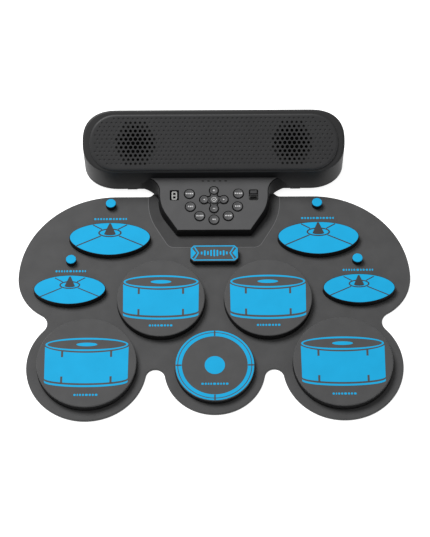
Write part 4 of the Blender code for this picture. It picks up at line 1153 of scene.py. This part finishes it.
# ---- sockets


def socket_outline(half_x, half_z):
    """Barrel outline in x and z: round for a plug jack, a rounded rectangle for the power port."""
    if half_x == half_z:
        return disc(0, 0, half_x, 40)
    return rounded_rectangle(0, 0, half_x, half_z, half_z * 0.75)


def add_barrel(solid, x, outlines, ys):
    """A body along Y through outlines in x and z, closed at both ends."""
    rings = [[(x + px, y, JACK_Z + pz) for px, pz in outline] for outline, y in zip(outlines, ys)]
    ends = solid.walls(rings)
    for end in ends:
        solid.face(end)


def make_jack(node, x, half_x, half_z):
    box = node_box(node)
    front, rear = box.y - box.half_y, box.y + box.half_y
    is_port = half_x != half_z
    opening = socket_outline(half_x, half_z)
    outer = socket_outline(half_x + BARREL_WALL, half_z + BARREL_WALL)
    solid = Solid()
    outlines = [outer, outer, offset(outer, 0.3), offset(opening, -0.25), opening, opening]
    add_barrel(solid, x, outlines, (front + 2.0, rear - 0.3, rear, rear, rear - 0.25, front + 4.0))
    solid.put(f"socket_{node}", ["steel" if is_port else "jack"], "jack_plastic", node, sharp=40)
    block = Solid()
    block_y, block_half_y = (front + BLOCK_REAR_Y) / 2, (BLOCK_REAR_Y - front) / 2
    block.prism(rectangle(x, block_y, half_x + 2.9, block_half_y), box.bottom, box.top)
    block.put(f"block_{node}", ["jack"], "jack_plastic")
    if is_port:
        tongue = Solid()
        outline = rounded_rectangle(0, 0, half_x - 1.3, 0.35, 0.3)
        add_barrel(tongue, x, [outline, outline], (front + 3.0, BAR_REAR_Y - 2.6))
        tongue.put("port_tongue", ["jack"], "jack_plastic")


# ---- stage


# In metres and watts.
WORLD_STRENGTH = 0.38
KEY_LIGHT, KEY_LIGHT_SIZE, KEY_LIGHT_POWER = Vector((-1.0, 1.1, 2.3)), 1.5, 66.0
FLOOR_REACH, FLOOR_GAP = 6.0, 0.0002
CAMERA_SPOT, CAMERA_TARGET = Vector((0.0, -1.2536, 2.1281)), Vector((0.0008, 0.0092, 0.0))
CAMERA_ROLL, LENS = radians(-0.27), 140.8


def aimed(spot, target):
    """The placement at spot of a light or a camera that faces target."""
    return Matrix.Translation(spot) @ (target - spot).to_track_quat("-Z", "Y").to_matrix().to_4x4()


def make_stage():
    """A pale floor, a soft lamp behind on the left, light all round, and a camera in front and above."""
    scene = bpy.context.scene
    scene.view_settings.view_transform = "Standard"
    world = bpy.data.worlds.new("studio")
    world.use_nodes = True
    adjust(world.node_tree.nodes["Background"], {"Color": WHITE, "Strength": WORLD_STRENGTH})
    scene.world = world
    light = bpy.data.lights.new("key_light", "AREA")
    light.shape, light.size, light.energy = "DISK", KEY_LIGHT_SIZE, KEY_LIGHT_POWER
    add_object("key_light", light, aimed(KEY_LIGHT, Vector((0, 0, 0))))
    floor = bpy.data.meshes.new("floor")
    floor.from_pydata([(x, y, 0) for x, y in rectangle(0, 0, FLOOR_REACH, FLOOR_REACH)], [], [(0, 1, 2, 3)])
    paper = surface("floor_paper", (0.8, 0.8, 0.8), 0.9, (300.0, 0.05, 0.05), 0.004, gloss=0.0, glow=0.8)
    floor.materials.append(paper)
    add_object("floor", floor, Matrix.Translation((0, 0, -FLOOR_GAP)))
    camera = bpy.data.cameras.new("camera")
    camera.sensor_width, camera.lens = 36.0, LENS
    camera.clip_start, camera.clip_end = 0.05, 50.0
    view = aimed(CAMERA_SPOT, CAMERA_TARGET) @ Matrix.Rotation(CAMERA_ROLL, 4, "Z")
    scene.camera = add_object("camera", camera, view)


def main():
    make_stage()
    make_mat()
    for node in DRUM_PADS:
        make_pad(node, "pad_top")
    for node in CYMBAL_PADS:
        make_pad(node, "pad_side")
    for node, art in PICTURES.items():
        make_drum_print(node, art)
    make_bass_print("pad_bass")
    for node in CYMBAL_PADS:
        make_cymbal_print(node)
    for node in STUDS:
        make_stud(node)
    make_badge()
    make_bar()
    make_tongue()
    make_panel_details()
    make_base()
    for number in range(1, len(FEET) + 1):
        make_foot(number)
    for number in range(1, len(SCREWS) + 1):
        make_screw(number)
    make_grille()
    make_keys()
    make_display()
    make_switch()
    for node, opening in JACKS.items():
        make_jack(node, *opening)
    for node, finish in CARRIED.items():
        mesh = frame["nodes"][node].data
        mesh.materials.clear()
        mesh.materials.append(MATS[finish])


main()
